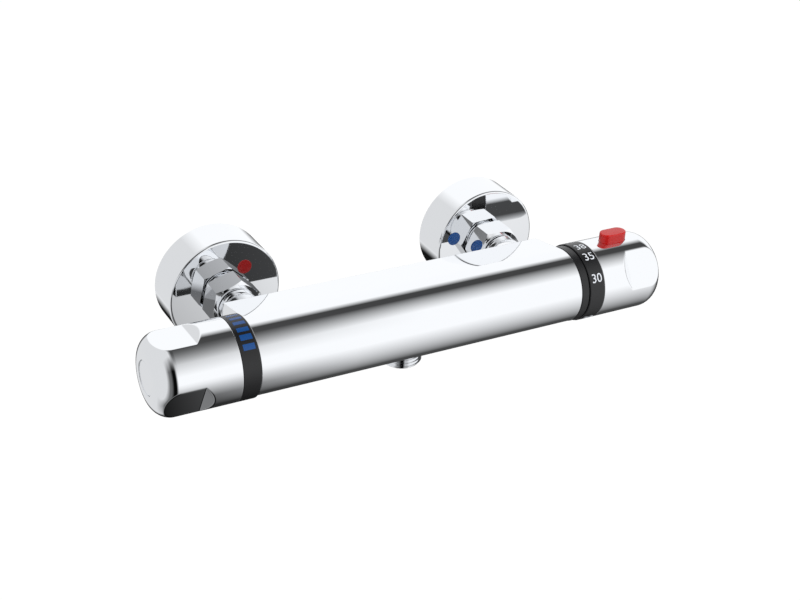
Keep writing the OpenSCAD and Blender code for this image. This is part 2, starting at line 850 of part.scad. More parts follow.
module temp_spindle() color("goldenrod") on_bar() {
    difference() {
        union() {
            rod(barrel_start, barrel_start + barrel_len, barrel_r);
            spindle_stem(barrel_start + barrel_len - over, temp_knob_at - tap_depth, temp_knob_at);
        }
        rod(barrel_start - over, barrel_start + barrel_len - over, adjuster_r + slip_gap);
        spindle_groove(thermo_end - spindle_d / 2);
    }
}

module temp_spindle_oring() color("dimgray") on_bar()
    oring(thermo_end - spindle_d / 2, spindle_r - spindle_oring_r, spindle_oring_r - fit_gap / 2);

module cartridge_nut() color("darkgoldenrod") on_bar() difference() {
    union() {
        rod(thermo_end, body_temp_len, temp_bore_r - fit_gap);
        rod(body_temp_len, temp_nut_face, nut_collar_r);
        rod(temp_nut_face, temp_nut_face + nut_neck_len, nut_neck_r);
    }
    rod(thermo_end - over, temp_nut_face + nut_neck_len + over, stem_bore_r + fit_gap);
    translate([temp_nut_face + nut_neck_len - over, -nut_neck_r, -key_slot_w / 2])
        cube([2 * over, 2 * nut_neck_r, key_slot_w]);
}

module index_ring() color("black") on_bar()
    sleeve(body_temp_len, body_temp_len + index_ring_w, index_ring_r, nut_collar_r + fit_gap);

// Ring on the cartridge nut, with a raised arc that the handle's rib meets at each end of its travel
module travel_stop_ring() color("ivory") on_bar() {
    sleeve(temp_nut_face, stop_track_end, stop_track_r, nut_neck_r + fit_gap);
    ring_sector(stop_track_end - fit_gap, stop_track_end + track_len, stop_track_r,
                stop_track_r - track_wall, rib_mid + hotter_travel + rib_angle / 2 + stop_margin_angle,
                rib_mid + 4 * QUARTER - colder_travel - rib_angle / 2 - stop_margin_angle);
}

// Slot through the handle's wall at the button, wider than the button by gap on each side
module button_slot(low, high, gap) {
    translate([button_mid, 0, low]) linear_extrude(high - low)
        slot_outline(button_len + 2 * gap, button_w + 2 * gap);
}

module temp_knob() color("gainsboro") on_bar() {
    difference() {
        knob_shell(temp_knob_at, UP + THIRD / 2);
        button_slot(hub_r, knob_r - slot_lip, guide_wall + slip_gap + fit_gap);
        button_slot(hub_r, knob_r + over, lip_gap);
        translate([button_mid, 0, button_seat_r]) cylinder(h = hub_r, r = button_pocket_r);
    }
    ring_sector(stop_track_end + run_gap, stop_track_end + track_len, knob_cavity_r + fit_gap,
                knob_cavity_r - rib_depth, rib_mid - rib_angle / 2, rib_mid + rib_angle / 2);
}

module temp_knob_insert() on_bar() knob_insert(temp_knob_at);

module temp_knob_screw() on_bar() knob_screw(temp_knob_at);

module temp_knob_cap() on_bar() knob_cap(temp_knob_at);

// Sleeve that is pressed into the handle's wall from inside, up to the lip round the button
module button_guide() color("darkred") on_bar() difference() {
    button_slot(knob_cavity_r, knob_r - slot_lip - fit_gap, guide_wall + slip_gap);
    button_slot(0, knob_d, slip_gap);
}

module safety_button() color("red") on_bar() {
    button_slot(button_foot_r - button_foot_t, knob_r + button_rise, 0);
    button_slot(button_foot_r - button_foot_t, button_foot_r, button_foot_edge);
}

module button_spring() color("lightsteelblue") on_bar()
    translate([button_mid, 0, button_seat_r + fit_gap])
        coil_spring(button_coil_r, button_wire_r,
                    button_foot_r - button_foot_t - button_seat_r - 2 * fit_gap, button_turns);

wall_union(HOT);  // wall_union_hot
wall_union(COLD);  // wall_union_cold
wall_flange(HOT);  // wall_flange_hot
wall_flange(COLD);  // wall_flange_cold
hot_marker();
cold_marker();
union_nut(HOT, hot_nut_angle);  // union_nut_hot
union_nut(COLD, cold_nut_angle);  // union_nut_cold
inlet_seal(HOT);  // inlet_seal_hot
inlet_seal(COLD);  // inlet_seal_cold
inlet_tail(HOT);  // inlet_tail_hot
inlet_tail(COLD);  // inlet_tail_cold
check_cage(HOT);  // check_cage_hot
check_cage(COLD);  // check_cage_cold
check_poppet(HOT);  // check_poppet_hot
check_poppet(COLD);  // check_poppet_cold
check_spring(HOT);  // check_spring_hot
check_spring(COLD);  // check_spring_cold
valve_body();
outlet_nipple();
outlet_seal();
flow_seal();
flow_fixed_disc();
flow_turning_disc();
flow_cartridge_housing();
flow_housing_oring();
flow_spindle();
flow_spindle_orings();
flow_spindle_clip();
flow_stop_ring();
flow_scale_ring();
flow_knob();
flow_knob_insert();
flow_knob_screw();
flow_knob_cap();
thermostat_housing();
thermostat_orings();
regulating_shuttle();
wax_element();
adjuster_piston();
return_spring();
temp_spindle();
temp_spindle_oring();
cartridge_nut();
index_ring();
travel_stop_ring();
temp_dial_ring();
temp_knob();
temp_knob_insert();
temp_knob_screw();
temp_knob_cap();
button_guide();
safety_button();
button_spring();
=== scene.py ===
"""Looks of a thermostatic bar shower valve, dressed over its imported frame.

Every place is in metres in the frame's own axes: +X along the bar from the hot to the cold
inlet, +Y into the wall, +Z up. Angles about the bar start at its front and run upwards.
"""

import json
import logging
import math
from collections.abc import Callable, Sequence
from dataclasses import dataclass
from enum import Enum
from typing import ClassVar

import bmesh
import bpy
from mathutils import Matrix, Vector


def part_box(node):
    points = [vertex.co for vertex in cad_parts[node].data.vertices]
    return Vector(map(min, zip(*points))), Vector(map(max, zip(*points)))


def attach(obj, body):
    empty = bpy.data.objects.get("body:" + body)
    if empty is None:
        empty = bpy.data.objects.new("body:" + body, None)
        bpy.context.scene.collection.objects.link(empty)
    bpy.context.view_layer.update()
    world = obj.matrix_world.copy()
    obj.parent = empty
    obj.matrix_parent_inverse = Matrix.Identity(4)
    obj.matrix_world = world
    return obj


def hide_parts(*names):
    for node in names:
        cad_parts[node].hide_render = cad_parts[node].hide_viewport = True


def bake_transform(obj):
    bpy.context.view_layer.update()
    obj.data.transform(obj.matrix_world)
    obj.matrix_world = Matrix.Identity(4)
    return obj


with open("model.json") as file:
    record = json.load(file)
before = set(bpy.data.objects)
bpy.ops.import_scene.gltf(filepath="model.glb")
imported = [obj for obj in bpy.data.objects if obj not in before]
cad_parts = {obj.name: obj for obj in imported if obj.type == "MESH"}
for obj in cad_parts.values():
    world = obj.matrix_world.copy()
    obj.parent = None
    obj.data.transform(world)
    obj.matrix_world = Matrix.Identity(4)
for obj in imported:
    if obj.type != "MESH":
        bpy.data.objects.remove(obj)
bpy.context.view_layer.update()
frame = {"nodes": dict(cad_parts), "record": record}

log = logging.getLogger("shower_valve")

MM = 0.001
MERGE_GAP = 0.0005 * MM
CREASE = 30.0
FULL_TURN = math.tau
X_AXIS = Vector((1.0, 0.0, 0.0))
Y_AXIS = Vector((0.0, 1.0, 0.0))
Z_AXIS = Vector((0.0, 0.0, 1.0))

Mesh = bmesh.types.BMesh
Piece = bpy.types.Object
Tree = bpy.types.NodeTree
Socket = bpy.types.NodeSocket
Outline = list[tuple[float, float]]
Triple = tuple[float, float, float]


class Side(Enum):
    """The two inlets, each with the direction along X in which it lies."""

    HOT = -1
    COLD = 1

    @property
    def word(self) -> str:
        """The side's name as the nodes write it."""
        return self.name.lower()


class Body(str, Enum):
    """The bodies that a piece can ride on."""

    VALVE = "valve"
    FLOW = "flow_control"
    TEMPERATURE = "temperature_control"
    BUTTON = "button"
    MIXING = "mixing_unit"
    HOT_POPPET = "hot_poppet"
    COLD_POPPET = "cold_poppet"


class Effect(Enum):
    """The effects that finishes share, each by the name of its node group."""

    HANDLING = "handling_marks"
    MOULDING = "moulded_grain"
    TURNING = "turning_marks"


# Node groups and finishes


def feed(tree: Tree, socket: Socket, value: object) -> None:
    """Links an input to what feeds it, or sets it to a plain value.

    Args:
        tree: The node tree that holds the input.
        socket: The input.
        value: Another node's output, or a value.
    """
    if isinstance(value, Socket):
        tree.links.new(value, socket)
    else:
        socket.default_value = value


def add_node(tree: Tree, kind: str, inputs: dict[str | int, object] | None = None,
             **values: object) -> bpy.types.Node:
    """Adds a shader node to a tree, sets its properties and feeds its inputs.

    Args:
        tree: The node tree that gets the node.
        kind: The node's type, without the ShaderNode that starts it.
        inputs: What feeds each input: an output or a value.
        values: Properties to set on the node.

    Returns:
        The new node.
    """
    node = tree.nodes.new(f"ShaderNode{kind}")
    for name, value in values.items():
        setattr(node, name, value)
    for name, value in (inputs or {}).items():
        feed(tree, node.inputs[name], value)
    return node


def math_node(tree: Tree, operation: str, *terms: Socket | float) -> Socket:
    """Adds a Math node, such as MULTIPLY, and gives its output."""
    return add_node(tree, "Math", dict(enumerate(terms)), operation=operation).outputs[0]


def ranged(tree: Tree, value: Socket, start: float, end: float, low: Socket | float = 0.0,
           high: Socket | float = 1.0) -> Socket:
    """Maps one range of a value on to another, and holds it inside.

    Args:
        tree: The node tree.
        value: The value to map.
        start: Where the value gives low.
        end: Where it gives high.
        low: What comes out at the start.
        high: What comes out at the end.

    Returns:
        The mapped value.
    """
    return add_node(tree, "MapRange", {
        "Value": value, "From Min": start, "From Max": end, "To Min": low, "To Max": high,
    }).outputs[0]


class EffectGroup:
    """A shader node group that several finishes share."""

    def __init__(self, effect: Effect, scales: dict[str, float], *results: str) -> None:
        """Makes the group with its named inputs and outputs.

        Args:
            effect: The effect, which names the group.
            scales: The scale inputs, each with its usual value.
            results: The outputs.
        """
        self.tree = bpy.data.node_groups.new(effect.value, "ShaderNodeTree")
        face = self.tree.interface
        face.new_socket(name="Vector", in_out="INPUT", socket_type="NodeSocketVector")
        for label, value in {**scales, "Low": 0.0, "High": 1.0}.items():
            made = face.new_socket(name=label, in_out="INPUT", socket_type="NodeSocketFloat")
            made.default_value = value
        for label in results:
            face.new_socket(name=label, in_out="OUTPUT", socket_type="NodeSocketFloat")
        self.inputs = self.tree.nodes.new("NodeGroupInput").outputs
        self.outputs = self.tree.nodes.new("NodeGroupOutput").inputs

    def texture(self, kind: str, scale: str, inputs: dict[str, object],
                **values: object) -> Socket:
        """Adds a texture that runs at one of the group's scales.

        Args:
            kind: The texture's type, as for add_node.
            scale: The name of the scale input.
            inputs: The texture's other inputs.
            values: Its properties.

        Returns:
            The texture's value.
        """
        shared = {"Vector": self.inputs["Vector"], "Scale": self.inputs[scale]}
        return add_node(self.tree, kind, {**shared, **inputs}, **values).outputs["Fac"]

    def put_out(self, patches: Socket, span: tuple[float, float], **results: Socket) -> Tree:
        """Wires the group's outputs.

        Args:
            patches: What spreads the roughness from Low to High.
            span: The patches' values that give Low and High.
            results: What feeds each other output.

        Returns:
            The group's tree.
        """
        rough = ranged(self.tree, patches, *span, self.inputs["Low"], self.inputs["High"])
        for label, value in {"Roughness": rough, **results}.items():
            feed(self.tree, self.outputs[label], value)
        return self.tree


@dataclass(frozen=True)
class SurfaceGroups:
    """The shared effects, with the sizes of their patterns in repeats to the metre."""

    smear_scale: float = 45.0
    smear_span: tuple[float, float] = (0.38, 0.72)
    scratch_scale: float = 900.0
    scratch_turn: Triple = (0.4, 0.9, 0.3)
    scratch_stretch: Triple = (1.0, 0.06, 1.0)
    scratch_least: float = 0.72
    grain_scale: float = 2500.0
    flow_scale: float = 90.0
    ring_scale: float = 1500.0
    patch_scale: float = 120.0
    whole_span: tuple[float, float] = (0.0, 1.0)

    def build(self) -> dict[Effect, Tree]:
        """Builds each group once.

        Returns:
            Each effect's tree.
        """
        return {
            Effect.HANDLING: self.handling_marks(),
            Effect.MOULDING: self.moulded_grain(),
            Effect.TURNING: self.turning_marks(),
        }

    def handling_marks(self) -> Tree:
        """Faint smears and hairline scratches on a polished surface.

        Returns:
            The group, with a Roughness and a Height output.
        """
        group = EffectGroup(
            Effect.HANDLING, {"Smear Scale": self.smear_scale, "Scratch Scale": self.scratch_scale},
            "Roughness", "Height",
        )
        smear = group.texture("TexNoise", "Smear Scale", {"Detail": 5.0, "Roughness": 0.6})
        stretched = add_node(group.tree, "Mapping", {
            "Vector": group.inputs["Vector"], "Rotation": self.scratch_turn,
            "Scale": self.scratch_stretch,
        }).outputs[0]
        scratch = group.texture("TexNoise", "Scratch Scale", {"Vector": stretched, "Detail": 2.0})
        hairlines = math_node(group.tree, "GREATER_THAN", scratch, self.scratch_least)
        return group.put_out(smear, self.smear_span, Height=hairlines)

    def moulded_grain(self) -> Tree:
        """The fine spark-eroded grain and faint flow marks of moulded plastic or rubber.

        Returns:
            The group, with a Tone, a Roughness and a Height output.
        """
        group = EffectGroup(
            Effect.MOULDING, {"Grain Scale": self.grain_scale, "Flow Scale": self.flow_scale},
            "Tone", "Roughness", "Height",
        )
        grain = group.texture("TexNoise", "Grain Scale", {"Detail": 1.0})
        flow = group.texture("TexNoise", "Flow Scale", {"Detail": 4.0, "Distortion": 0.6})
        return group.put_out(flow, self.whole_span, Tone=flow, Height=grain)

    def turning_marks(self) -> Tree:
        """Fine rings that a lathe leaves along an axis, with patches of dulled metal.

        Returns:
            The group, with a Tone, a Roughness and a Height output.
        """
        group = EffectGroup(
            Effect.TURNING, {"Ring Scale": self.ring_scale, "Patch Scale": self.patch_scale},
            "Tone", "Roughness", "Height",
        )
        rings = group.texture("TexWave", "Ring Scale", {"Distortion": 0.8, "Detail": 2.0},
                              wave_type="BANDS", bands_direction="X")
        patch = group.texture("TexNoise", "Patch Scale", {"Detail": 6.0})
        return group.put_out(patch, self.whole_span, Tone=patch, Height=rings)


@dataclass(frozen=True)
class Finish:
    """One finish: its record slot, its colours, its roughness and its surface marks.

    A shade is mixed into the colour by the effect's Tone. None keeps the colour even.
    """

    slot: str
    colour: Triple
    shade: Triple | None
    rough: tuple[float, float]
    bump: float
    scale: float = 1.0
    glow: float = 0.0

    effect: ClassVar[Effect]
    scale_input: ClassVar[str]
    mark_depth: ClassVar[float]
    metallic: ClassVar[float] = 0.0

    def material(self, groups: dict[Effect, Tree]) -> bpy.types.Material:
        """Builds the material.

        Args:
            groups: The shared effects.

        Returns:
            The finished material.
        """
        material = bpy.data.materials.new(f"{self.slot}_finish")
        material.use_nodes = True
        tree = material.node_tree
        where = add_node(tree, "TexCoord").outputs["Object"]
        marks = add_node(tree, "Group", {
            "Vector": where, self.scale_input: self.scale,
            "Low": self.rough[0], "High": self.rough[1],
        }, node_tree=groups[self.effect]).outputs
        bump = add_node(tree, "Bump", {
            "Strength": self.bump, "Distance": self.mark_depth, "Height": marks["Height"],
        })
        colour = (*self.colour, 1.0)
        looks = {
            "Base Color": colour, "Metallic": self.metallic, "Roughness": marks["Roughness"],
            "Normal": bump.outputs[0], "Subsurface Weight": self.glow, "Subsurface Scale": MM,
        }
        shader = tree.nodes["Principled BSDF"].inputs
        for name, value in looks.items():
            feed(tree, shader[name], value)
        if self.shade:
            toned = add_node(tree, "Mix", {
                "Factor": marks["Tone"], "A": colour, "B": (*self.shade, 1.0),
            }, data_type="RGBA")
            feed(tree, shader["Base Color"], toned.outputs["Result"])
        return material


@dataclass(frozen=True)
class Chrome(Finish):
    """Polished chrome plate, with faint smears and hairlines."""

    scale: float = 45.0
    effect: ClassVar[Effect] = Effect.HANDLING
    scale_input: ClassVar[str] = "Smear Scale"
    mark_depth: ClassVar[float] = 0.002 * MM
    metallic: ClassVar[float] = 1.0


@dataclass(frozen=True)
class Moulded(Finish):
    """Moulded plastic or rubber with a fine grain."""

    scale: float = 2500.0
    effect: ClassVar[Effect] = Effect.MOULDING
    scale_input: ClassVar[str] = "Grain Scale"
    mark_depth: ClassVar[float] = 0.02 * MM


@dataclass(frozen=True)
class Turned(Finish):
    """Bare metal off the lathe, or drawn wire."""

    scale: float = 1500.0
    effect: ClassVar[Effect] = Effect.TURNING
    scale_input: ClassVar[str] = "Ring Scale"
    mark_depth: ClassVar[float] = 0.01 * MM
    metallic: ClassVar[float] = 1.0


FINISHES: tuple[Finish, ...] = (
    Chrome("chrome_plate", (0.93, 0.94, 0.955), None, (0.015, 0.05), 0.15),
    Moulded("red_marker", (0.27, 0.006, 0.006), (0.24, 0.005, 0.005), (0.25, 0.35), 0.01),
    Moulded("blue_marker", (0.003, 0.058, 0.22), (0.003, 0.05, 0.2), (0.2, 0.3), 0.01),
    Moulded("black_plastic", (0.005, 0.005, 0.006), (0.007, 0.007, 0.008), (0.28, 0.4), 0.1),
    Moulded("red_plastic", (0.52, 0.005, 0.004), (0.45, 0.004, 0.003), (0.18, 0.26), 0.015,
            scale=1800.0, glow=0.06),
    Moulded("white_plastic", (0.7, 0.73, 0.78), (0.65, 0.68, 0.72), (0.35, 0.5), 0.1),
    Moulded("orange_plastic", (0.68, 0.17, 0.02), (0.6, 0.14, 0.015), (0.35, 0.5), 0.1),
    Moulded("shuttle_plastic", (0.5, 0.4, 0.22), (0.44, 0.34, 0.18), (0.45, 0.6), 0.25),
    Moulded("black_rubber", (0.015, 0.015, 0.015), (0.022, 0.022, 0.022), (0.6, 0.8), 0.3,
            scale=1500.0),
    Turned("raw_brass", (0.72, 0.49, 0.2), (0.6, 0.38, 0.15), (0.22, 0.42), 0.2),
    Turned("spring_steel", (0.55, 0.56, 0.58), (0.46, 0.47, 0.49), (0.2, 0.35), 0.15,
           scale=4000.0),
    Moulded("valve_ceramic", (0.84, 0.8, 0.7), (0.78, 0.73, 0.62), (0.15, 0.3), 0.05,
            scale=4000.0),
)


class Paintbox:
    """Every material of the part, by record slot."""

    def __init__(self) -> None:
        """Builds each finish once."""
        groups = SurfaceGroups().build()
        self.materials = {finish.slot: finish.material(groups) for finish in FINISHES}

    def dress(self, piece: Piece, slot: str) -> None:
        """Gives an object the material of one record slot."""
        piece.data.materials.clear()
        piece.data.materials.append(self.materials[slot])

    def dress_nodes(self) -> None:
        """Gives every node of the frame the finish that the record names."""
        for entry in frame["record"]["subparts"]:
            self.dress(frame["nodes"][entry["node"]], entry["material_slot"])


# Modelling


@dataclass(frozen=True)
class Axis:
    """A line that turned pieces share, with the direction from which angles are measured."""

    origin: Vector
    along: Vector
    out: Vector
    up: Vector

    def point(self, radius: float, place: float, angle: float = 0.0) -> Vector:
        """A point round the axis.

        Args:
            radius: Distance from the axis.
            place: Distance along the axis from its origin.
            angle: Turn from the out direction towards the up direction, in radians.

        Returns:
            The point in the frame.
        """
        spoke = self.out * math.cos(angle) + self.up * math.sin(angle)
        return self.origin + self.along * place + spoke * radius

    def measure(self, point: Vector) -> Triple:
        """Finds where a point lies about the axis.

        Args:
            point: The point in the frame.

        Returns:
            Its distance from the axis, its place along it and its angle in radians.
        """
        offset = point - self.origin
        place = offset.dot(self.along)
        spoke = offset - self.along * place
        return spoke.length, place, math.atan2(spoke.dot(self.up), spoke.dot(self.out))

    def moved(self, offset: Vector) -> "Axis":
        """The same axis, moved by an offset."""
        return Axis(self.origin + offset, self.along, self.out, self.up)


def rounded(corners: Sequence[Triple]) -> Outline:
    """Rounds the corners of a closed outline, with a support point beside each arc.

    Args:
        corners: Each corner as its two coordinates and its radius.

    Returns:
        The outline's points.
    """
    support, chord, least_steps = 0.03 * MM, 0.4 * MM, 4
    points: Outline = []
    for index, (x, y, radius) in enumerate(corners):
        corner = Vector((x, y))
        if radius <= 0.0:
            points.append((x, y))
            continue
        before = Vector(corners[index - 1][:2]) - corner
        after = Vector(corners[(index + 1) % len(corners)][:2]) - corner
        half = before.angle(after) / 2.0
        reach = radius / math.tan(half)
        before, after = before.normalized(), after.normalized()
        start, end = corner + before * reach, corner + after * reach
        centre = corner + (before + after).normalized() * (radius / math.sin(half))
        points.append(tuple(start + before * support))
        first = math.atan2(*(start - centre).yx)
        sweep = (math.atan2(*(end - centre).yx) - first + math.pi) % FULL_TURN - math.pi
        steps = max(least_steps, math.ceil(radius * abs(sweep) / chord))
        for step in range(steps + 1):
            angle = first + sweep * step / steps
            points.append(
                (centre.x + radius * math.cos(angle), centre.y + radius * math.sin(angle))
            )
        points.append(tuple(end + after * support))
    return points


def spaced(outline: Outline, gap: float, beyond: float) -> Outline:
    """Adds points to the outer sides of a closed outline so that none is longer than a gap.

    Args:
        outline: The outline's points, as radius and place.
        gap: The longest side that may stay.
        beyond: Only sides with both ends beyond this radius are cut.

    Returns:
        The denser outline.
    """
    points: Outline = []
    for index, (x, y) in enumerate(outline):
        next_x, next_y = outline[(index + 1) % len(outline)]
        cuts = 1
        if min(x, next_x) > beyond:
            cuts = max(1, math.ceil(math.hypot(next_x - x, next_y - y) / gap))
        points += [
            (x + (next_x - x) * cut / cuts, y + (next_y - y) * cut / cuts) for cut in range(cuts)
        ]
    return points


def outward(mesh: Mesh) -> Mesh:
    """Turns a closed mesh's faces outwards, and gives it back."""
    bmesh.ops.recalc_face_normals(mesh, faces=mesh.faces)
    return mesh


def of_kind(items: Sequence[object], kind: type) -> list[object]:
    """The vertices, the edges or the faces among an operator's results."""
    return [item for item in items if isinstance(item, kind)]


def turned(axis: Axis, outline: Outline, segments: int) -> Mesh:
    """Spins a closed outline of radii and places once round an axis.

    Args:
        axis: The axis to spin about.
        outline: Points as radius and place along the axis.
        segments: Steps in the full turn.

    Returns:
        The turned mesh.
    """
    least_area = 1e-14
    mesh = bmesh.new()
    ring = [mesh.verts.new(axis.point(radius, place)) for radius, place in outline]
    edges = [mesh.edges.new((ring[i], ring[(i + 1) % len(ring)])) for i in range(len(ring))]
    bmesh.ops.spin(mesh, geom=ring + edges, cent=axis.origin, axis=axis.along,
                   angle=FULL_TURN, steps=segments, use_merge=True)
    bmesh.ops.remove_doubles(mesh, verts=mesh.verts, dist=MERGE_GAP)
    flat = [face for face in mesh.faces if face.calc_area() < least_area]
    bmesh.ops.delete(mesh, geom=flat, context="FACES_ONLY")
    return outward(mesh)


def prism(points: Sequence[Vector], offset: Vector) -> Mesh:
    """Pushes a flat outline out into a solid.

    Args:
        points: The outline, in order.
        offset: How far and which way it is pushed.

    Returns:
        The closed mesh.
    """
    mesh = bmesh.new()
    face = mesh.faces.new([mesh.verts.new(point) for point in points])
    pushed = bmesh.ops.extrude_face_region(mesh, geom=[face])["geom"]
    bmesh.ops.translate(mesh, verts=of_kind(pushed, bmesh.types.BMVert), vec=offset)
    return outward(mesh)


def wound(mesh: Mesh, axis: Axis, rise: float, turns: float, steps: int) -> Mesh:
    """Winds a face round an axis into an unbroken coil, closed at both ends.

    Args:
        mesh: A mesh that holds only the face.
        axis: The coil's axis.
        rise: Advance along the axis in one step.
        turns: How often the coil goes round.
        steps: Steps in the whole coil.

    Returns:
        The same mesh.
    """
    swept = bmesh.ops.spin(mesh, geom=list(mesh.verts) + list(mesh.edges), cent=axis.origin,
                           axis=axis.along, dvec=axis.along * rise, angle=FULL_TURN * turns,
                           steps=steps)
    bmesh.ops.contextual_create(mesh, geom=of_kind(swept["geom_last"], bmesh.types.BMEdge))
    return outward(mesh)


@dataclass(frozen=True)
class PipeThread:
    """The half inch pipe thread of the unions and the outlet."""

    crest: float = 10.478 * MM
    root: float = 9.35 * MM
    pitch: float = 1.814 * MM
    sunk: float = 0.05 * MM
    foot_share: float = 0.02
    flank_share: float = 0.4
    steps_per_turn: int = 72

    def ridge(self, axis: Axis, start: float, end: float) -> Mesh:
        """Winds one unbroken ridge round an axis.

        Args:
            axis: The screw's axis.
            start: Place where the ridge starts.
            end: Place where it ends.

        Returns:
            The ridge as a closed mesh.
        """
        foot = self.root - self.sunk
        section = ((foot, self.foot_share), (self.crest, self.flank_share),
                   (self.crest, 1.0 - self.flank_share), (foot, 1.0 - self.foot_share))
        mesh = bmesh.new()
        mesh.faces.new([mesh.verts.new(axis.point(radius, start + share * self.pitch))
                        for radius, share in section])
        steps = int((end - start - self.pitch) / self.pitch * self.steps_per_turn)
        return wound(mesh, axis, self.pitch / self.steps_per_turn, steps / self.steps_per_turn,
                     steps)


def press_to(mesh: Mesh, axis: Axis, limit: Callable[[float, float, float], float | None],
             edge: float) -> None:
    """Moves outer points in towards an axis, to a limit that blends in over an edge radius.

    Args:
        mesh: The mesh to shape.
        axis: The axis towards which points move.
        limit: Gives the largest radius for a point's radius, place and angle, or None.
        edge: Width over which the two surfaces blend.
    """
    for vertex in mesh.verts:
        radius, place, angle = axis.measure(vertex.co)
        most = limit(radius, place, angle)
        if most is None:
            continue
        blend = max(edge - abs(radius - most), 0.0) / edge
        wanted = min(radius, most) - blend * blend * edge / 4.0
        if wanted < radius:
            vertex.co = axis.point(wanted, place, angle)


def joined(*meshes: Mesh) -> Mesh:
    """Gathers several meshes in the first one.

    Args:
        meshes: The meshes. All but the first are freed.

    Returns:
        The first mesh.
    """
    first = meshes[0]
    for other in meshes[1:]:
        holder = bpy.data.meshes.new("gathered")
        other.to_mesh(holder)
        first.from_mesh(holder)
        bpy.data.meshes.remove(holder)
        other.free()
    return first


def smooth_piece(piece: Piece, weigh: bool = True, crease: float = CREASE) -> None:
    """Shades a piece smooth between its crisp edges.

    Args:
        piece: The piece to shade.
        weigh: True where large faces keep their own direction beside small roundings.
        crease: Edges sharper than this angle, in degrees, stay crisp.
    """
    piece.data.shade_smooth()
    piece.data.set_sharp_from_angle(angle=math.radians(crease))
    if weigh:
        modifier = piece.modifiers.new("weighted_normals", "WEIGHTED_NORMAL")
        modifier.mode = "FACE_AREA"
        modifier.keep_sharp = True


def make_object(name: str, mesh: Mesh, crease: float = CREASE) -> Piece:
    """Turns a mesh into an object in the scene, smooth between its crisp edges.

    Args:
        name: The object's name.
        mesh: The mesh, which is freed.
        crease: Edges sharper than this angle, in degrees, stay crisp.

    Returns:
        The new object.
    """
    data = bpy.data.meshes.new(name)
    mesh.to_mesh(data)
    mesh.free()
    piece = bpy.data.objects.new(name, data)
    bpy.context.scene.collection.objects.link(piece)
    smooth_piece(piece, weigh=False, crease=crease)
    return piece


def apply_modifiers(piece: Piece) -> None:
    """Makes what a piece's modifiers do a part of its mesh.

    Args:
        piece: The piece, which keeps no modifier.
    """
    graph = bpy.context.evaluated_depsgraph_get()
    baked = bpy.data.meshes.new_from_object(piece.evaluated_get(graph))
    piece.modifiers.clear()
    old = piece.data
    piece.data = baked
    bpy.data.meshes.remove(old)


def combine(piece: Piece, tools: Sequence[Mesh], operation: str = "DIFFERENCE") -> None:
    """Cuts closed meshes out of a piece, or keeps only what it shares with them.

    Args:
        piece: The piece to cut.
        tools: Closed meshes, which are freed.
        operation: DIFFERENCE or INTERSECT.
    """
    for tool_mesh in tools:
        tool = make_object("cutter", tool_mesh)
        modifier = piece.modifiers.new("cut", "BOOLEAN")
        modifier.object = tool
        modifier.operation = operation
        modifier.solver = "EXACT"
        apply_modifiers(piece)
        bpy.data.objects.remove(tool)


def add_to(piece: Piece, meshes: Sequence[Mesh]) -> Piece:
    """Adds loose shells to a piece's own mesh.

    Args:
        piece: The piece.
        meshes: The shells, which are freed.

    Returns:
        The same piece.
    """
    whole = bmesh.new()
    whole.from_mesh(piece.data)
    joined(whole, *meshes).to_mesh(piece.data)
    whole.free()
    smooth_piece(piece, weigh=False)
    return piece


def rod_mesh(axis: Axis, start: float, end: float, radius: float, segments: int = 128) -> Mesh:
    """A plain round bar on an axis, used as a cutter."""
    return turned(axis, [(0.0, start), (radius, start), (radius, end), (0.0, end)], segments)


def stadium_loop(mesh: Mesh, length: float, width: float,
                 segments: int = 72) -> list[bmesh.types.BMVert]:
    """Adds a slot outline with round ends, its length along X, at the mesh's origin.

    Args:
        mesh: The mesh that gets the outline.
        length: The slot's length.
        width: The slot's width.
        segments: Points on the outline.

    Returns:
        The outline's vertices, in order.
    """
    loop = bmesh.ops.create_circle(mesh, cap_ends=False, segments=segments,
                                   radius=width / 2.0)["verts"]
    bmesh.ops.rotate(mesh, verts=loop, matrix=Matrix.Rotation(math.pi / segments, 3, "Z"))
    for vertex in loop:
        vertex.co.x += math.copysign((length - width) / 2.0, vertex.co.x)
    return loop


# The bar and what both of its ends share


BAR_Y = -77.5 * MM
INLET_X = 75.0 * MM
OUTLET_Y = -65.5 * MM
BUTTON_X = 114.2 * MM
HANDLE_R = 19.8 * MM
THREAD = PipeThread()
CHROME = "chrome_plate"

OVER = MM
SHARP = 0.0
FINE = 0.15 * MM
EASED = 0.2 * MM
SOFT = 0.3 * MM

FLOW_AXIS = Axis(Vector((0.0, BAR_Y, 0.0)), -X_AXIS, -Y_AXIS, Z_AXIS)
TEMPERATURE_AXIS = Axis(Vector((0.0, BAR_Y, 0.0)), X_AXIS, -Y_AXIS, Z_AXIS)
OUTLET_AXIS = Axis(Vector((0.0, OUTLET_Y, 0.0)), -Z_AXIS, X_AXIS, -Y_AXIS)


def inlet_axis(side: Side) -> Axis:
    """The axis of one inlet, from the wall face outwards."""
    return Axis(Vector((side.value * INLET_X, 0.0, 0.0)), -Y_AXIS, X_AXIS, Z_AXIS)


@dataclass
class SubAssembly:
    """What every sub-assembly has: the paints that dress its pieces."""

    paints: Paintbox

    def hand_over(self, piece: Piece, body: Body, slot: str, *stands_for: str) -> None:
        """Dresses a piece, ties it to its body and hides the nodes that it stands for.

        Args:
            piece: The finished piece.
            body: The body that it rides on.
            slot: The record slot of its finish.
            stands_for: Nodes that it replaces.
        """
        self.paints.dress(piece, slot)
        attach(piece, body.value)
        if stands_for:
            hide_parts(*stands_for)
        log.info("%s on %s: %d faces", piece.name, body.value, len(piece.data.polygons))


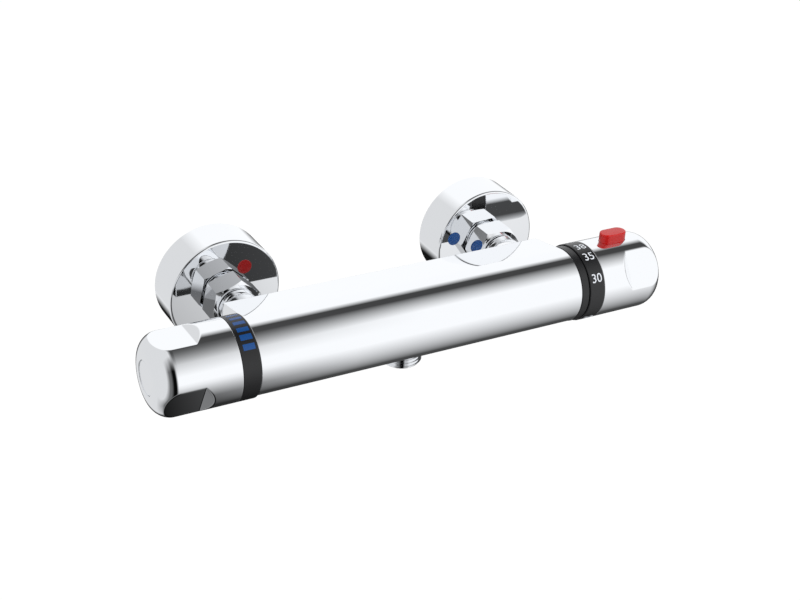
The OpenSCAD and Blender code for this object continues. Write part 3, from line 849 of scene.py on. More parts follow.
@dataclass(frozen=True)
class Bore:
    """A round bore: its radius, its two ends along an axis and its offset from it in mm."""

    radius: float
    start: float
    end: float
    offset: Triple = (0.0, 0.0, 0.0)
    segments: int = 128

    def cutter(self, axis: Axis) -> Mesh:
        """The bore's shape as a solid bar."""
        near = axis.moved(Vector(self.offset) * MM)
        return rod_mesh(near, self.start, self.end, self.radius, self.segments)


@dataclass
class Bar(SubAssembly):
    """The brass bar with its two cartridge chambers and its sockets."""

    radius: float = 19.0 * MM
    back: float = 26.3 * MM
    back_half: float = 14.2 * MM
    flow_end: float = 89.3 * MM
    temperature_end: float = 85.1 * MM
    rim_edge: float = 0.35 * MM
    rim_crease: float = 60.0
    rim_steps: int = 3
    back_edge: float = 0.8 * MM
    back_crease: float = 30.0
    back_steps: int = 5
    arc_steps: int = 180
    flow_chamber: Bore = Bore(12.5 * MM, 43.3 * MM, 89.3 * MM + OVER)
    thermostat_chamber: Bore = Bore(13.5 * MM, 27.1 * MM, 85.1 * MM + OVER)
    mixed_way: Bore = Bore(5.0 * MM, -43.3 * MM - OVER, 27.1 * MM + OVER, (0.0, -4.0, 0.0), 64)
    hot_way: Bore = Bore(2.8 * MM, -INLET_X, 43.8 * MM, (0.0, 17.3, 6.0), 48)
    outlet_way: Bore = Bore(3.0 * MM, -58.0 * MM, 0.0, (0.0, 16.0, -8.0), 48)
    outlet_socket: tuple[Bore, ...] = (
        Bore(10.528 * MM, 13.5 * MM, 26.3 * MM),
        Bore(9.05 * MM, 9.45 * MM, 14.5 * MM),
        Bore(7.0 * MM, 5.0 * MM, 10.45 * MM),
    )
    inlet_socket: tuple[Bore, ...] = (
        Bore(8.95 * MM, 50.2 * MM, 57.25 * MM),
        Bore(6.6 * MM, 56.25 * MM, 63.2 * MM),
    )

    def outline(self) -> list[Vector]:
        """The bar's section: round front, straight sides and flat back.

        Returns:
            Points in the frame at the flow end, in order.
        """
        reach = math.hypot(self.back, self.back_half)
        touch = math.pi - math.atan2(self.back_half, self.back) - math.acos(self.radius / reach)
        points = []
        for step in range(self.arc_steps + 1):
            angle = touch * (2.0 * step / self.arc_steps - 1.0)
            points.append(FLOW_AXIS.point(self.radius, self.flow_end, angle))
        for high in (1.0, -1.0):
            points.append(Vector((-self.flow_end, BAR_Y + self.back, high * self.back_half)))
        return points

    def ease(self, mesh: Mesh, run: tuple[float, float], crease: float, width: float,
             segments: int) -> None:
        """Rounds the edges that run so far along the bar.

        Args:
            mesh: The bar.
            run: The least and the most that such an edge runs along X.
            crease: Only edges sharper than this angle, in degrees, are rounded.
            width: The rounding's width.
            segments: Faces across the rounding.
        """
        edges = [edge for edge in mesh.edges
                 if run[0] <= abs(edge.verts[0].co.x - edge.verts[1].co.x) < run[1]
                 and edge.calc_face_angle() > math.radians(crease)]
        bmesh.ops.bevel(mesh, geom=edges, offset=width, offset_type="OFFSET", affect="EDGES",
                        segments=segments, profile=0.5, material=-1)

    def block(self) -> Mesh:
        """The solid bar, with eased edges.

        Returns:
            The closed mesh.
        """
        length = self.flow_end + self.temperature_end
        mesh = bmesh.new()
        section = mesh.faces.new([mesh.verts.new(point) for point in self.outline()])
        pushed = bmesh.ops.extrude_face_region(mesh, geom=[section])["geom"]
        moved = [item for item in pushed if isinstance(item, bmesh.types.BMVert)]
        bmesh.ops.translate(mesh, verts=moved, vec=X_AXIS * length)
        bmesh.ops.recalc_face_normals(mesh, faces=mesh.faces)
        self.ease(mesh, (length / 2.0, math.inf), self.back_crease, self.back_edge,
                  self.back_steps)
        self.ease(mesh, (0.0, OVER), self.rim_crease, self.rim_edge, self.rim_steps)
        return mesh

    def waterways(self) -> list[Mesh]:
        """Everything that is bored out of the bar.

        Returns:
            The cutters, in order.
        """
        inner = (self.thermostat_chamber, self.mixed_way, self.hot_way, self.outlet_way)
        return [
            self.flow_chamber.cutter(FLOW_AXIS),
            *(bore.cutter(TEMPERATURE_AXIS) for bore in inner),
            *(bore.cutter(OUTLET_AXIS) for bore in self.outlet_socket),
            *(bore.cutter(inlet_axis(side)) for side in Side for bore in self.inlet_socket),
        ]

    def build(self) -> None:
        """Builds the bar and hands it over."""
        piece = make_object("chromed_bar", self.block())
        combine(piece, self.waterways())
        smooth_piece(piece)
        self.hand_over(piece, Body.VALVE, CHROME, "valve_body")


@dataclass
class Outlet(SubAssembly):
    """The threaded nipple under the bar."""

    end: float = 30.5 * MM
    relief_start: float = 20.5 * MM
    relief_end: float = 19.3 * MM
    relief_r: float = 9.678 * MM
    shoulder: float = 14.5 * MM
    spigot_r: float = 9.0 * MM
    spigot_top: float = 9.5 * MM
    bore_r: float = 7.0 * MM
    mouth_edge: float = 0.4 * MM
    ridge_gap: float = 0.4 * MM
    segments: int = 144

    def build(self) -> None:
        """Builds the nipple with its thread and hands it over."""
        core = turned(OUTLET_AXIS, rounded([
            (self.bore_r, self.end, self.mouth_edge),
            (THREAD.root - EASED, self.end, EASED),
            (THREAD.root, self.end - EASED, SHARP),
            (THREAD.root, self.relief_start, SHARP),
            (self.relief_r, self.relief_start, SHARP),
            (self.relief_r, self.relief_end, SHARP),
            (THREAD.crest, self.relief_end, FINE),
            (THREAD.crest, self.shoulder, FINE),
            (self.spigot_r, self.shoulder, SHARP),
            (self.spigot_r, self.spigot_top, EASED),
            (self.bore_r, self.spigot_top, EASED),
        ]), self.segments)
        ridge = THREAD.ridge(OUTLET_AXIS, self.relief_start - self.ridge_gap,
                             self.end - self.ridge_gap)
        piece = make_object("outlet_thread", joined(core, ridge))
        self.hand_over(piece, Body.VALVE, CHROME, "outlet_nipple")


@dataclass
class WallInlet(SubAssembly):
    """One wall inlet: union, flange, colour dot, hexagon nut and tail.

    Places are distances from the wall. The dot's section gives, for each corner, the share
    of the dot's radius, the height over the flange and the edge radius.
    """

    side: Side
    nut_angle: float
    dot_reach: float
    dot_angle: float
    union_start: float = -15.0 * MM
    union_end: float = 28.5 * MM
    union_bore_r: float = 7.5 * MM
    pipe_bore_r: float = 6.5 * MM
    key_end: float = -7.0 * MM
    key_across: float = 12.0 * MM
    lead_in: float = 0.5 * MM
    threads: tuple[tuple[float, float], ...] = (
        (-14.7 * MM, -0.2 * MM), (1.6 * MM, 28.3 * MM),
    )
    flange_r: float = 29.0 * MM
    flange_depth: float = 20.5 * MM
    flange_wall: float = 1.4 * MM
    flange_edge: float = 1.2 * MM
    play: float = 0.05 * MM
    nut_start: float = 22.2 * MM
    nut_end: float = 34.7 * MM
    nut_af: float = 24.0 * MM
    nut_thread_end: float = 32.25 * MM
    nut_bore_start: float = 31.0 * MM
    nut_bore_r: float = 8.55 * MM
    wall_chamfer: float = 0.6 * MM
    wall_cut: float = 0.9 * MM
    front_chamfer: float = 1.2 * MM
    chamfer_over: float = 0.01 * MM
    dot_r: float = 3.7 * MM
    dot_section: tuple[Triple, ...] = (
        (0.0, -0.02 * MM, SHARP), (1.0, -0.02 * MM, SHARP), (1.0, 0.14 * MM, 0.1 * MM),
        (0.6, 0.19 * MM, SHARP), (0.0, 0.2 * MM, SHARP),
    )
    tail_r: float = 10.0 * MM
    tail_bore_r: float = 6.6 * MM
    tail_start: float = 30.2 * MM
    tail_edge: float = 0.6 * MM
    tail_end: float = 57.2 * MM
    collar_r: float = 10.43 * MM
    collar_end: float = 32.2 * MM
    neck_r: float = 8.5 * MM
    neck_end: float = 35.2 * MM
    groove_start: float = 39.8 * MM
    groove_end: float = 40.6 * MM
    groove_depth: float = 0.7 * MM
    spigot_r: float = 8.9 * MM
    spigot_start: float = 51.2 * MM
    thread_sides: int = 96
    flange_sides: int = 240
    chamfer_sides: int = 144
    tail_sides: int = 192
    nut_crease: float = 20.0
    nut_edge_steps: int = 3

    @property
    def axis(self) -> Axis:
        """The inlet's own axis, from the wall outwards."""
        return inlet_axis(self.side)

    def hexagon(self, start: float, end: float, across: float, turn: float) -> Mesh:
        """A six-sided bar on the inlet's axis.

        Args:
            start: Place of its near face.
            end: Place of its far face.
            across: Size across its flats.
            turn: Angle of its first corner, in degrees, from +X towards +Z.

        Returns:
            The bar as a closed mesh.
        """
        corner = across / math.sqrt(3.0)
        points = [self.axis.point(corner, start, math.radians(turn + 60.0 * step))
                  for step in range(6)]
        return prism(points, self.axis.along * (end - start))

    def union(self) -> Piece:
        """The threaded union, with the hexagon socket at its wall end.

        Returns:
            The piece.
        """
        start, end = self.union_start, self.union_end
        piece = make_object(f"union_thread_{self.side.word}", turned(self.axis, rounded([
            (self.pipe_bore_r, start, EASED),
            (THREAD.root - SOFT, start, SOFT),
            (THREAD.root, start + self.lead_in, SHARP),
            (THREAD.root, end - self.lead_in, SHARP),
            (THREAD.root - SOFT, end, SOFT),
            (self.union_bore_r, end, EASED),
            (self.union_bore_r, self.key_end, SHARP),
            (self.pipe_bore_r, self.key_end, EASED),
        ]), self.thread_sides))
        combine(piece, [self.hexagon(start - OVER, self.key_end, self.key_across, 0.0)])
        return add_to(piece, [THREAD.ridge(self.axis, *ends) for ends in self.threads])

    def flange(self) -> Piece:
        """The spun cover with its rolled rim.

        Returns:
            The piece.
        """
        outer, depth, hole = self.flange_r, self.flange_depth, THREAD.crest + self.play
        inner, back = outer - self.flange_wall, depth - self.flange_wall
        return make_object(f"flange_shell_{self.side.word}", turned(self.axis, rounded([
            (outer, 0.0, SOFT),
            (outer, depth, self.flange_edge),
            (hole, depth, SOFT),
            (hole, back, EASED),
            (inner, back, self.flange_edge / 2.0),
            (inner, 0.0, SOFT),
        ]), self.flange_sides))

    def dot(self) -> Piece:
        """The printed colour dot on the flange.

        Returns:
            The piece.
        """
        middle = self.axis.point(self.flange_r - self.dot_reach, self.flange_depth,
                                 math.radians(self.dot_angle))
        axis = Axis(middle, self.axis.along, self.axis.out, self.axis.up)
        section = [(self.dot_r * share, height, edge) for share, height, edge in self.dot_section]
        return make_object(f"{self.side.word}_dot",
                           turned(axis, rounded(section), self.thread_sides))

    def nut(self) -> Piece:
        """The hexagon nut, with turned chamfers and eased edges.

        Returns:
            The piece.
        """
        start, end = self.nut_start, self.nut_end
        flat, corner = self.nut_af / 2.0, self.nut_af / math.sqrt(3.0)
        piece = make_object(f"hexagon_nut_{self.side.word}",
                            self.hexagon(start, end, self.nut_af, self.nut_angle))
        combine(piece, [turned(self.axis, [
            (0.0, start), (corner - self.wall_cut, start),
            (corner + self.chamfer_over, start + self.wall_chamfer),
            (corner + self.chamfer_over, end - self.front_chamfer), (flat, end), (0.0, end),
        ], self.chamfer_sides)], "INTERSECT")
        combine(piece, [
            rod_mesh(self.axis, start - OVER, self.nut_thread_end, THREAD.crest + self.play,
                     self.thread_sides),
            rod_mesh(self.axis, self.nut_bore_start, end + OVER, self.nut_bore_r,
                     self.thread_sides),
        ])
        bevel = piece.modifiers.new("eased_edges", "BEVEL")
        bevel.limit_method = "ANGLE"
        bevel.angle_limit = math.radians(self.nut_crease)
        bevel.width = SOFT
        bevel.segments = self.nut_edge_steps
        apply_modifiers(piece)
        smooth_piece(piece)
        return piece

    def tail(self) -> Piece:
        """The turned tail between the nut and the bar.

        Returns:
            The piece.
        """
        groove_r = self.tail_r - self.groove_depth
        return make_object(f"turned_tail_{self.side.word}", turned(self.axis, rounded([
            (self.tail_bore_r, self.tail_start, EASED),
            (self.collar_r, self.tail_start, EASED),
            (self.collar_r, self.collar_end, EASED),
            (self.neck_r, self.collar_end, EASED),
            (self.neck_r, self.neck_end, SHARP),
            (self.tail_r, self.neck_end, self.tail_edge),
            (self.tail_r, self.groove_start, EASED),
            (groove_r, self.groove_start, FINE),
            (groove_r, self.groove_end, FINE),
            (self.tail_r, self.groove_end, EASED),
            (self.tail_r, self.spigot_start, EASED),
            (self.spigot_r, self.spigot_start, SHARP),
            (self.spigot_r, self.tail_end, SOFT),
            (self.tail_bore_r, self.tail_end, EASED),
        ]), self.tail_sides))

    def build(self) -> None:
        """Builds the inlet's pieces and hands them over."""
        word = self.side.word
        colour = "red_marker" if self.side is Side.HOT else "blue_marker"
        for make, slot, node in (
            (self.union, CHROME, f"wall_union_{word}"),
            (self.flange, CHROME, f"wall_flange_{word}"),
            (self.dot, colour, f"{word}_marker"),
            (self.nut, CHROME, f"union_nut_{word}"),
            (self.tail, CHROME, f"inlet_tail_{word}"),
        ):
            self.hand_over(make(), Body.VALVE, slot, node)


@dataclass
class Knob(SubAssembly):
    """A handle with three grip flats and its end cap.

    The section gives each corner of the shell: its radius, its place from the knob's start
    and its edge radius, all in millimetres. It goes from the screw hole round the splined
    hub, the hollow under the shell, the skirt, the outside and the cap's seat.
    """

    name: str
    axis: Axis
    first_grip: float
    body: Body
    start: float = 98.3 * MM
    section: tuple[Triple, ...] = (
        (2.2, 9.9, 0.0), (6.85, 9.9, 0.0), (6.85, 0.7, 0.2), (8.0, 0.7, 0.2),
        (8.0, 21.7, 0.8), (15.25, 21.7, 1.0), (15.25, -8.4, 0.2), (17.15, -8.4, 0.2),
        (17.15, 0.0, 0.0), (19.8, 0.0, 0.3), (19.8, 38.9, 9.6), (8.25, 38.9, 0.25),
        (8.25, 37.3, 0.0), (4.0, 37.3, 0.1), (4.0, 13.4, 0.0), (2.2, 13.4, 0.0),
    )
    row_gap: float = 0.3 * MM
    segments: int = 360
    flat_reach: float = 17.147 * MM
    flat_start: float = 13.2 * MM
    flat_full: float = 17.7 * MM
    flat_lead: float = 0.3
    flat_edge: float = 0.3 * MM
    cap_seat: float = 37.3 * MM
    cap_r: float = 8.2 * MM
    cap_thickness: float = 1.2 * MM
    cap_foot_edge: float = 0.05 * MM
    cap_edge: float = 0.4 * MM
    cap_rim: float = 1.4 * MM
    dish_edge: float = 0.02 * MM
    dish_depth: float = 0.12 * MM
    plug_r: float = 3.95 * MM
    plug_length: float = 5.0 * MM
    cap_sides: int = 192

    def shell(self) -> Mesh:
        """The hollow shell with its skirt, hub and screw hole, still round.

        Returns:
            The closed mesh.
        """
        outline = rounded([(radius * MM, self.start + place * MM, edge * MM)
                           for radius, place, edge in self.section])
        rows = spaced(outline, self.row_gap, HANDLE_R - self.row_gap / 3.0)
        return turned(self.axis, rows, self.segments)

    def flat_limit(self, radius: float, place: float, angle: float) -> float | None:
        """The most that a point may stand from the axis under the nearest grip flat.

        Args:
            radius: The point's distance from the axis.
            place: Its place along the axis.
            angle: Its angle from the front upwards, in radians.

        Returns:
            The limit, or None where no flat reaches.
        """
        run = (place - self.start - self.flat_start) / (self.flat_full - self.flat_start)
        if run < -self.flat_lead or radius < self.cap_r + OVER:
            return None
        third = FULL_TURN / 3.0
        offset = (angle - math.radians(self.first_grip) + third / 2.0) % third - third / 2.0
        reach = HANDLE_R + (self.flat_reach - HANDLE_R) * min(run, 1.0)
        return reach / math.cos(offset)

    def cap(self) -> Piece:
        """The cap that covers the screw.

        Returns:
            The piece.
        """
        floor = self.start + self.cap_seat
        face = floor + self.cap_thickness
        return make_object(f"{self.name}_end_cap", turned(self.axis, rounded([
            (0.0, floor - self.plug_length, SHARP),
            (self.plug_r, floor - self.plug_length, SOFT),
            (self.plug_r, floor, SHARP),
            (self.cap_r, floor, self.cap_foot_edge),
            (self.cap_r, face, self.cap_edge),
            (self.cap_r - self.cap_rim, face - self.dish_edge, SHARP),
            (0.0, face - self.dish_depth, SHARP),
        ]), self.cap_sides))

    def build(self, cutters: Sequence[Mesh] = ()) -> None:
        """Builds the knob and its cap and hands them over.

        Args:
            cutters: Shapes to cut out of the shell.
        """
        mesh = self.shell()
        press_to(mesh, self.axis, self.flat_limit, self.flat_edge)
        piece = make_object(f"{self.name}_handle", outward(mesh))
        if cutters:
            combine(piece, cutters)
            smooth_piece(piece, weigh=False)
        self.hand_over(piece, self.body, CHROME, f"{self.name}_knob")
        self.hand_over(self.cap(), self.body, CHROME, f"{self.name}_knob_cap")


@dataclass
class PrintedRing(SubAssembly):
    """A black ring behind a knob, with a print wrapped round it."""

    name: str
    axis: Axis
    body: Body
    replaced: str
    start: float = 89.6 * MM
    end: float = 98.3 * MM
    radius: float = HANDLE_R
    bore_r: float = 17.2 * MM
    start_edge: float = 0.35 * MM
    end_edge: float = 0.25 * MM
    print_rise: float = 0.03 * MM
    bend_gap: float = 0.4 * MM
    bends: int = 12
    bend_match: float = 1e-7
    sides: int = 288

    def build(self) -> None:
        """Builds the ring and hands it over."""
        piece = make_object(self.name, turned(self.axis, rounded([
            (self.radius, self.start, self.start_edge),
            (self.radius, self.end, self.end_edge),
            (self.bore_r, self.end, EASED),
            (self.bore_r, self.start, EASED),
        ]), self.sides))
        self.hand_over(piece, self.body, "black_plastic", self.replaced)

    def wrap(self, mesh: Mesh, place: float, angle: float) -> None:
        """Bends a flat print on to the ring, its X along the bar and its Y round it.

        Args:
            mesh: The flat print, centred on the origin.
            place: Its middle along the bar, as a distance from the bar's centre.
            angle: Its middle round the ring, in degrees from the front upwards.
        """
        for step in range(-self.bends, self.bends + 1):
            everything = list(mesh.verts) + list(mesh.edges) + list(mesh.faces)
            bmesh.ops.bisect_plane(mesh, geom=everything, dist=self.bend_match,
                                   plane_co=Y_AXIS * step * self.bend_gap, plane_no=Y_AXIS)
        forward = self.axis.along.x
        for vertex in mesh.verts:
            turn = math.radians(angle) + vertex.co.y / self.radius
            vertex.co = self.axis.point(self.radius + self.print_rise,
                                        place + forward * vertex.co.x, turn)
        bmesh.ops.solidify(mesh, geom=list(mesh.faces), thickness=2.0 * self.print_rise)
        outward(mesh)

    def add_prints(self, name: str, slot: str, place: float,
                   prints: Sequence[tuple[Mesh, float]]) -> None:
        """Wraps flat prints round the ring as one piece.

        Args:
            name: The piece's name.
            slot: The record slot of its finish.
            place: The prints' middle along the bar.
            prints: Each flat print with its angle, in degrees from the front upwards.
        """
        for mesh, angle in prints:
            self.wrap(mesh, place, angle)
        piece = make_object(name, joined(*(mesh for mesh, _ in prints)))
        self.hand_over(piece, self.body, slot)


@dataclass
class FlowEnd(SubAssembly):
    """The flow control's knob and its ring of blue bars, each with its angle and width."""

    first_grip: float = 92.0
    bar_length: float = 5.7 * MM
    bar_place: float = 93.55 * MM
    bars: tuple[tuple[float, float], ...] = (
        (43.4, 8.3), (57.1, 8.2), (69.3, 6.8), (81.9, 6.2), (93.5, 5.5), (105.5, 5.0),
    )

    def bar(self, width: float) -> Mesh:
        """One flat bar, centred on the origin.

        Args:
            width: The degrees of the ring that it covers.

        Returns:
            The bar as a flat mesh.
        """
        mesh = bmesh.new()
        bmesh.ops.create_grid(mesh, x_segments=2, y_segments=2, size=0.5)
        across = math.radians(width) * HANDLE_R
        bmesh.ops.scale(mesh, verts=mesh.verts, vec=(self.bar_length, across, 1.0))
        return mesh

    def build(self) -> None:
        """Builds the knob, the ring and its bars."""
        Knob(self.paints, "flow", FLOW_AXIS, self.first_grip, Body.FLOW).build()
        ring = PrintedRing(self.paints, "flow_ring", FLOW_AXIS, Body.FLOW, "flow_scale_ring")
        ring.build()
        ring.add_prints("flow_ring_bars", "blue_marker", self.bar_place,
                        [(self.bar(width), angle) for angle, width in self.bars])


@dataclass
class TemperatureEnd(SubAssembly):
    """The temperature control's knob, index ring and ring of degrees, each at its angle."""

    first_grip: float = 150.0
    index_start: float = 85.1 * MM
    index_end: float = 89.3 * MM
    index_r: float = 19.2 * MM
    index_bore_r: float = 14.15 * MM
    figure_height: float = 4.5 * MM
    figure_width: float = 5.7 * MM
    figure_place: float = 94.15 * MM
    figure_steps: int = 6
    figure_match: float = 1e-5
    figures: tuple[tuple[str, float], ...] = (
        ("30", 30.5), ("35", 65.7), ("38", 89.0), ("42", 120.0), ("20", -47.0),
    )

    def figure(self, text: str) -> Mesh:
        """One flat number, centred on the origin and scaled to the ring's figures.

        Args:
            text: The number's digits.

        Returns:
            The number as a flat mesh.
        """
        curve = bpy.data.curves.new("figure", "FONT")
        curve.body = text
        curve.resolution_u = self.figure_steps
        holder = bpy.data.objects.new("figure", curve)
        bpy.context.scene.collection.objects.link(holder)
        graph = bpy.context.evaluated_depsgraph_get()
        flat = bpy.data.meshes.new_from_object(holder.evaluated_get(graph))
        mesh = bmesh.new()
        mesh.from_mesh(flat)
        bpy.data.objects.remove(holder)
        bpy.data.meshes.remove(flat)
        bpy.data.curves.remove(curve)
        low, high = (Vector(pick(vertex.co[i] for vertex in mesh.verts) for i in range(3))
                     for pick in (min, max))
        bmesh.ops.remove_doubles(mesh, verts=mesh.verts, dist=self.figure_match)
        bmesh.ops.translate(mesh, verts=mesh.verts, vec=-(low + high) / 2.0)
        size = high - low
        bmesh.ops.scale(mesh, verts=mesh.verts,
                        vec=(self.figure_width / size.x, self.figure_height / size.y, 1.0))
        return mesh

    def build(self, slot_cutters: Sequence[Mesh]) -> None:
        """Builds the knob, both rings and the figures.

        Args:
            slot_cutters: What is cut out of the knob for the button.
        """
        body = Body.TEMPERATURE
        Knob(self.paints, "temp", TEMPERATURE_AXIS, self.first_grip, body).build(slot_cutters)
        PrintedRing(self.paints, "index_mark_ring", TEMPERATURE_AXIS, Body.VALVE, "index_ring",
                    start=self.index_start, end=self.index_end, radius=self.index_r,
                    bore_r=self.index_bore_r).build()
        ring = PrintedRing(self.paints, "temp_ring", TEMPERATURE_AXIS, body, "temp_dial_ring")
        ring.build()
        ring.add_prints("temp_ring_figures", "white_plastic", self.figure_place,
                        [(self.figure(text), angle) for text, angle in self.figures])


@dataclass
class SafetyButton(SubAssembly):
    """The red button that lets the temperature handle pass its stop, and its guide.

    Each inset is taken from the button's own outline, and is negative where a part is wider.
    """

    length: float = 14.7 * MM
    width: float = 7.8 * MM
    top: float = 24.5 * MM
    top_edge: float = 0.55 * MM
    crown: float = 0.1 * MM
    crown_inset: float = 2.4 * MM
    core_inset: float = 3.6 * MM
    foot_low: float = 13.25 * MM
    foot_high: float = 14.95 * MM
    foot_inset: float = -0.8 * MM
    guide_low: float = 15.3 * MM
    guide_high: float = 17.93 * MM
    guide_inner: float = -0.06 * MM
    guide_outer: float = -1.06 * MM
    cut_low: float = 8.0 * MM
    lip_low: float = 18.0 * MM
    pocket_inset: float = -1.11 * MM
    slot_inset: float = -0.15 * MM
    crease: float = 50.0

    def loft(self, section: Outline, closed: bool = False) -> Mesh:
        """Joins slot outlines, one for each point of a section, into a surface.

        Args:
            section: Each outline's inset and its height.
            closed: True for a ring that joins its last outline to its first.

        Returns:
            The closed surface.
        """
        mesh = bmesh.new()
        loops = []
        for inset, height in section:
            loop = stadium_loop(mesh, self.length - 2.0 * inset, self.width - 2.0 * inset)
            for vertex in loop:
                vertex.co = Vector((BUTTON_X + vertex.co.x, BAR_Y + vertex.co.y, height))
            loops.append(loop)
        pairs = list(zip(loops, loops[1:]))
        if closed:
            pairs.append((loops[-1], loops[0]))
        for first, second in pairs:
            edges = {edge for loop in (first, second) for vertex in loop
                     for edge in vertex.link_edges
                     if edge.other_vert(vertex) in loop}
            bmesh.ops.bridge_loops(mesh, edges=list(edges))
        if not closed:
            for loop in (loops[0], loops[-1]):
                mesh.faces.new(loop)
        return outward(mesh)

    def slot_cutters(self) -> list[Mesh]:
        """The wider pocket under the lip for the guide, and the button's slot."""
        spans = ((self.pocket_inset, self.lip_low), (self.slot_inset, HANDLE_R + OVER))
        return [self.loft([(inset, self.cut_low), (inset, end)]) for inset, end in spans]

    def build(self) -> None:
        """Builds the button and its guide and hands them over."""
        section = rounded([
            (self.foot_inset, self.foot_low, EASED),
            (self.foot_inset, self.foot_high, EASED),
            (0.0, self.foot_high, SHARP),
            (0.0, self.top - self.crown, self.top_edge),
            (self.crown_inset, self.top, SHARP),
            (self.core_inset, self.top, SHARP),
            (self.core_inset, self.foot_low, SHARP),
        ])[:-1]
        button = make_object("press_button", self.loft(section), self.crease)
        self.hand_over(button, Body.BUTTON, "red_plastic", "safety_button")
        ring = rounded([
            (self.guide_inner, self.guide_low, FINE),
            (self.guide_inner, self.guide_high, FINE),
            (self.guide_outer, self.guide_high, FINE),
            (self.guide_outer, self.guide_low, FINE),
        ])
        guide = make_object("button_sleeve", self.loft(ring, closed=True))
        self.hand_over(guide, Body.TEMPERATURE, "red_plastic", "button_guide")


@dataclass(frozen=True)
class Coil:
    """One wound spring: its node, its wire, and the two bodies that press it together."""

    name: str
    node: str
    axis: Axis
    coil_r: float
    wire_r: float
    turns: float
    moving: Body
    fixed: Body = Body.VALVE
    pressed_at_start: bool = False


@dataclass
class Springs(SubAssembly):
    """The steel springs inside, wound from round wire."""

    wire_sides: int = 12
    steps_per_turn: int = 40
    crease: float = 60.0
    slot: str = "spring_steel"

    def wire(self, coil: Coil, low: float, high: float) -> Mesh:
        """Winds one spring as an unbroken wire.

        Args:
            coil: The spring.
            low: Place of its first end along its axis.
            high: Place of its last end.

        Returns:
            The spring as a closed mesh.
        """
        axis = coil.axis
        mesh = bmesh.new()
        ring = bmesh.ops.create_circle(mesh, cap_ends=True, segments=self.wire_sides,
                                       radius=coil.wire_r)["verts"]
        turn = Matrix((axis.out, axis.along, axis.out.cross(axis.along))).transposed()
        bmesh.ops.rotate(mesh, verts=ring, matrix=turn)
        bmesh.ops.translate(mesh, verts=ring, vec=axis.point(coil.coil_r, low + coil.wire_r))
        steps = int(coil.turns * self.steps_per_turn)
        rise = (high - low - 2.0 * coil.wire_r) / steps
        return wound(mesh, axis, rise, coil.turns, steps)

    def wind(self, coil: Coil) -> None:
        """Winds a spring in its node's place.

        Args:
            coil: The spring.
        """
        ends = sorted(coil.axis.measure(corner)[1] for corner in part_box(coil.node))
        piece = make_object(coil.name, self.wire(coil, *ends), self.crease)
        self.paints.dress(piece, self.slot)
        fixed_end, moving_end = (
            coil.axis.point(0.0, end) for end in (reversed(ends) if coil.pressed_at_start else ends)
        )
        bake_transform(piece)
        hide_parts(coil.node)
        log.info("%s between %s and %s: %d faces", piece.name, coil.fixed.value,
                 coil.moving.value, len(piece.data.polygons))

    def build(self) -> None:
        """Winds the check springs, the return spring and the button's spring."""
        for side, poppet in ((Side.HOT, Body.HOT_POPPET), (Side.COLD, Body.COLD_POPPET)):
            self.wind(Coil(f"check_coil_{side.word}", f"check_spring_{side.word}",
                           inlet_axis(side), 2.6 * MM, 0.3 * MM, 5.0, poppet,
                           pressed_at_start=True))
        self.wind(Coil("return_coil", "return_spring", TEMPERATURE_AXIS, 7.2 * MM, 0.55 * MM, 7.0,
                       Body.MIXING))
        button_axis = Axis(Vector((BUTTON_X, BAR_Y, 0.0)), Z_AXIS, X_AXIS, Y_AXIS)
        self.wind(Coil("button_coil", "button_spring", button_axis, 2.3 * MM, 0.35 * MM, 4.0,
                       Body.BUTTON, Body.TEMPERATURE))


# The studio


@dataclass(frozen=True)
class SoftPanel:
    """A soft-edged panel hung in the light tent, over what hangs before it.

    The level is what the chrome shows of it, from 0 to 255. Each span gives where the panel
    starts, is full, is full until, and ends: angles in degrees from the front upwards, and
    places along the bar in metres.
    """

    level: float
    angles: tuple[float, float, float, float]
    places: tuple[float, float, float, float]


@dataclass(frozen=True)
class Lamp:
    """A square soft lamp: where it hangs, the side of its face and its power in watts."""

    name: str
    place: Triple
    size: float
    power: float


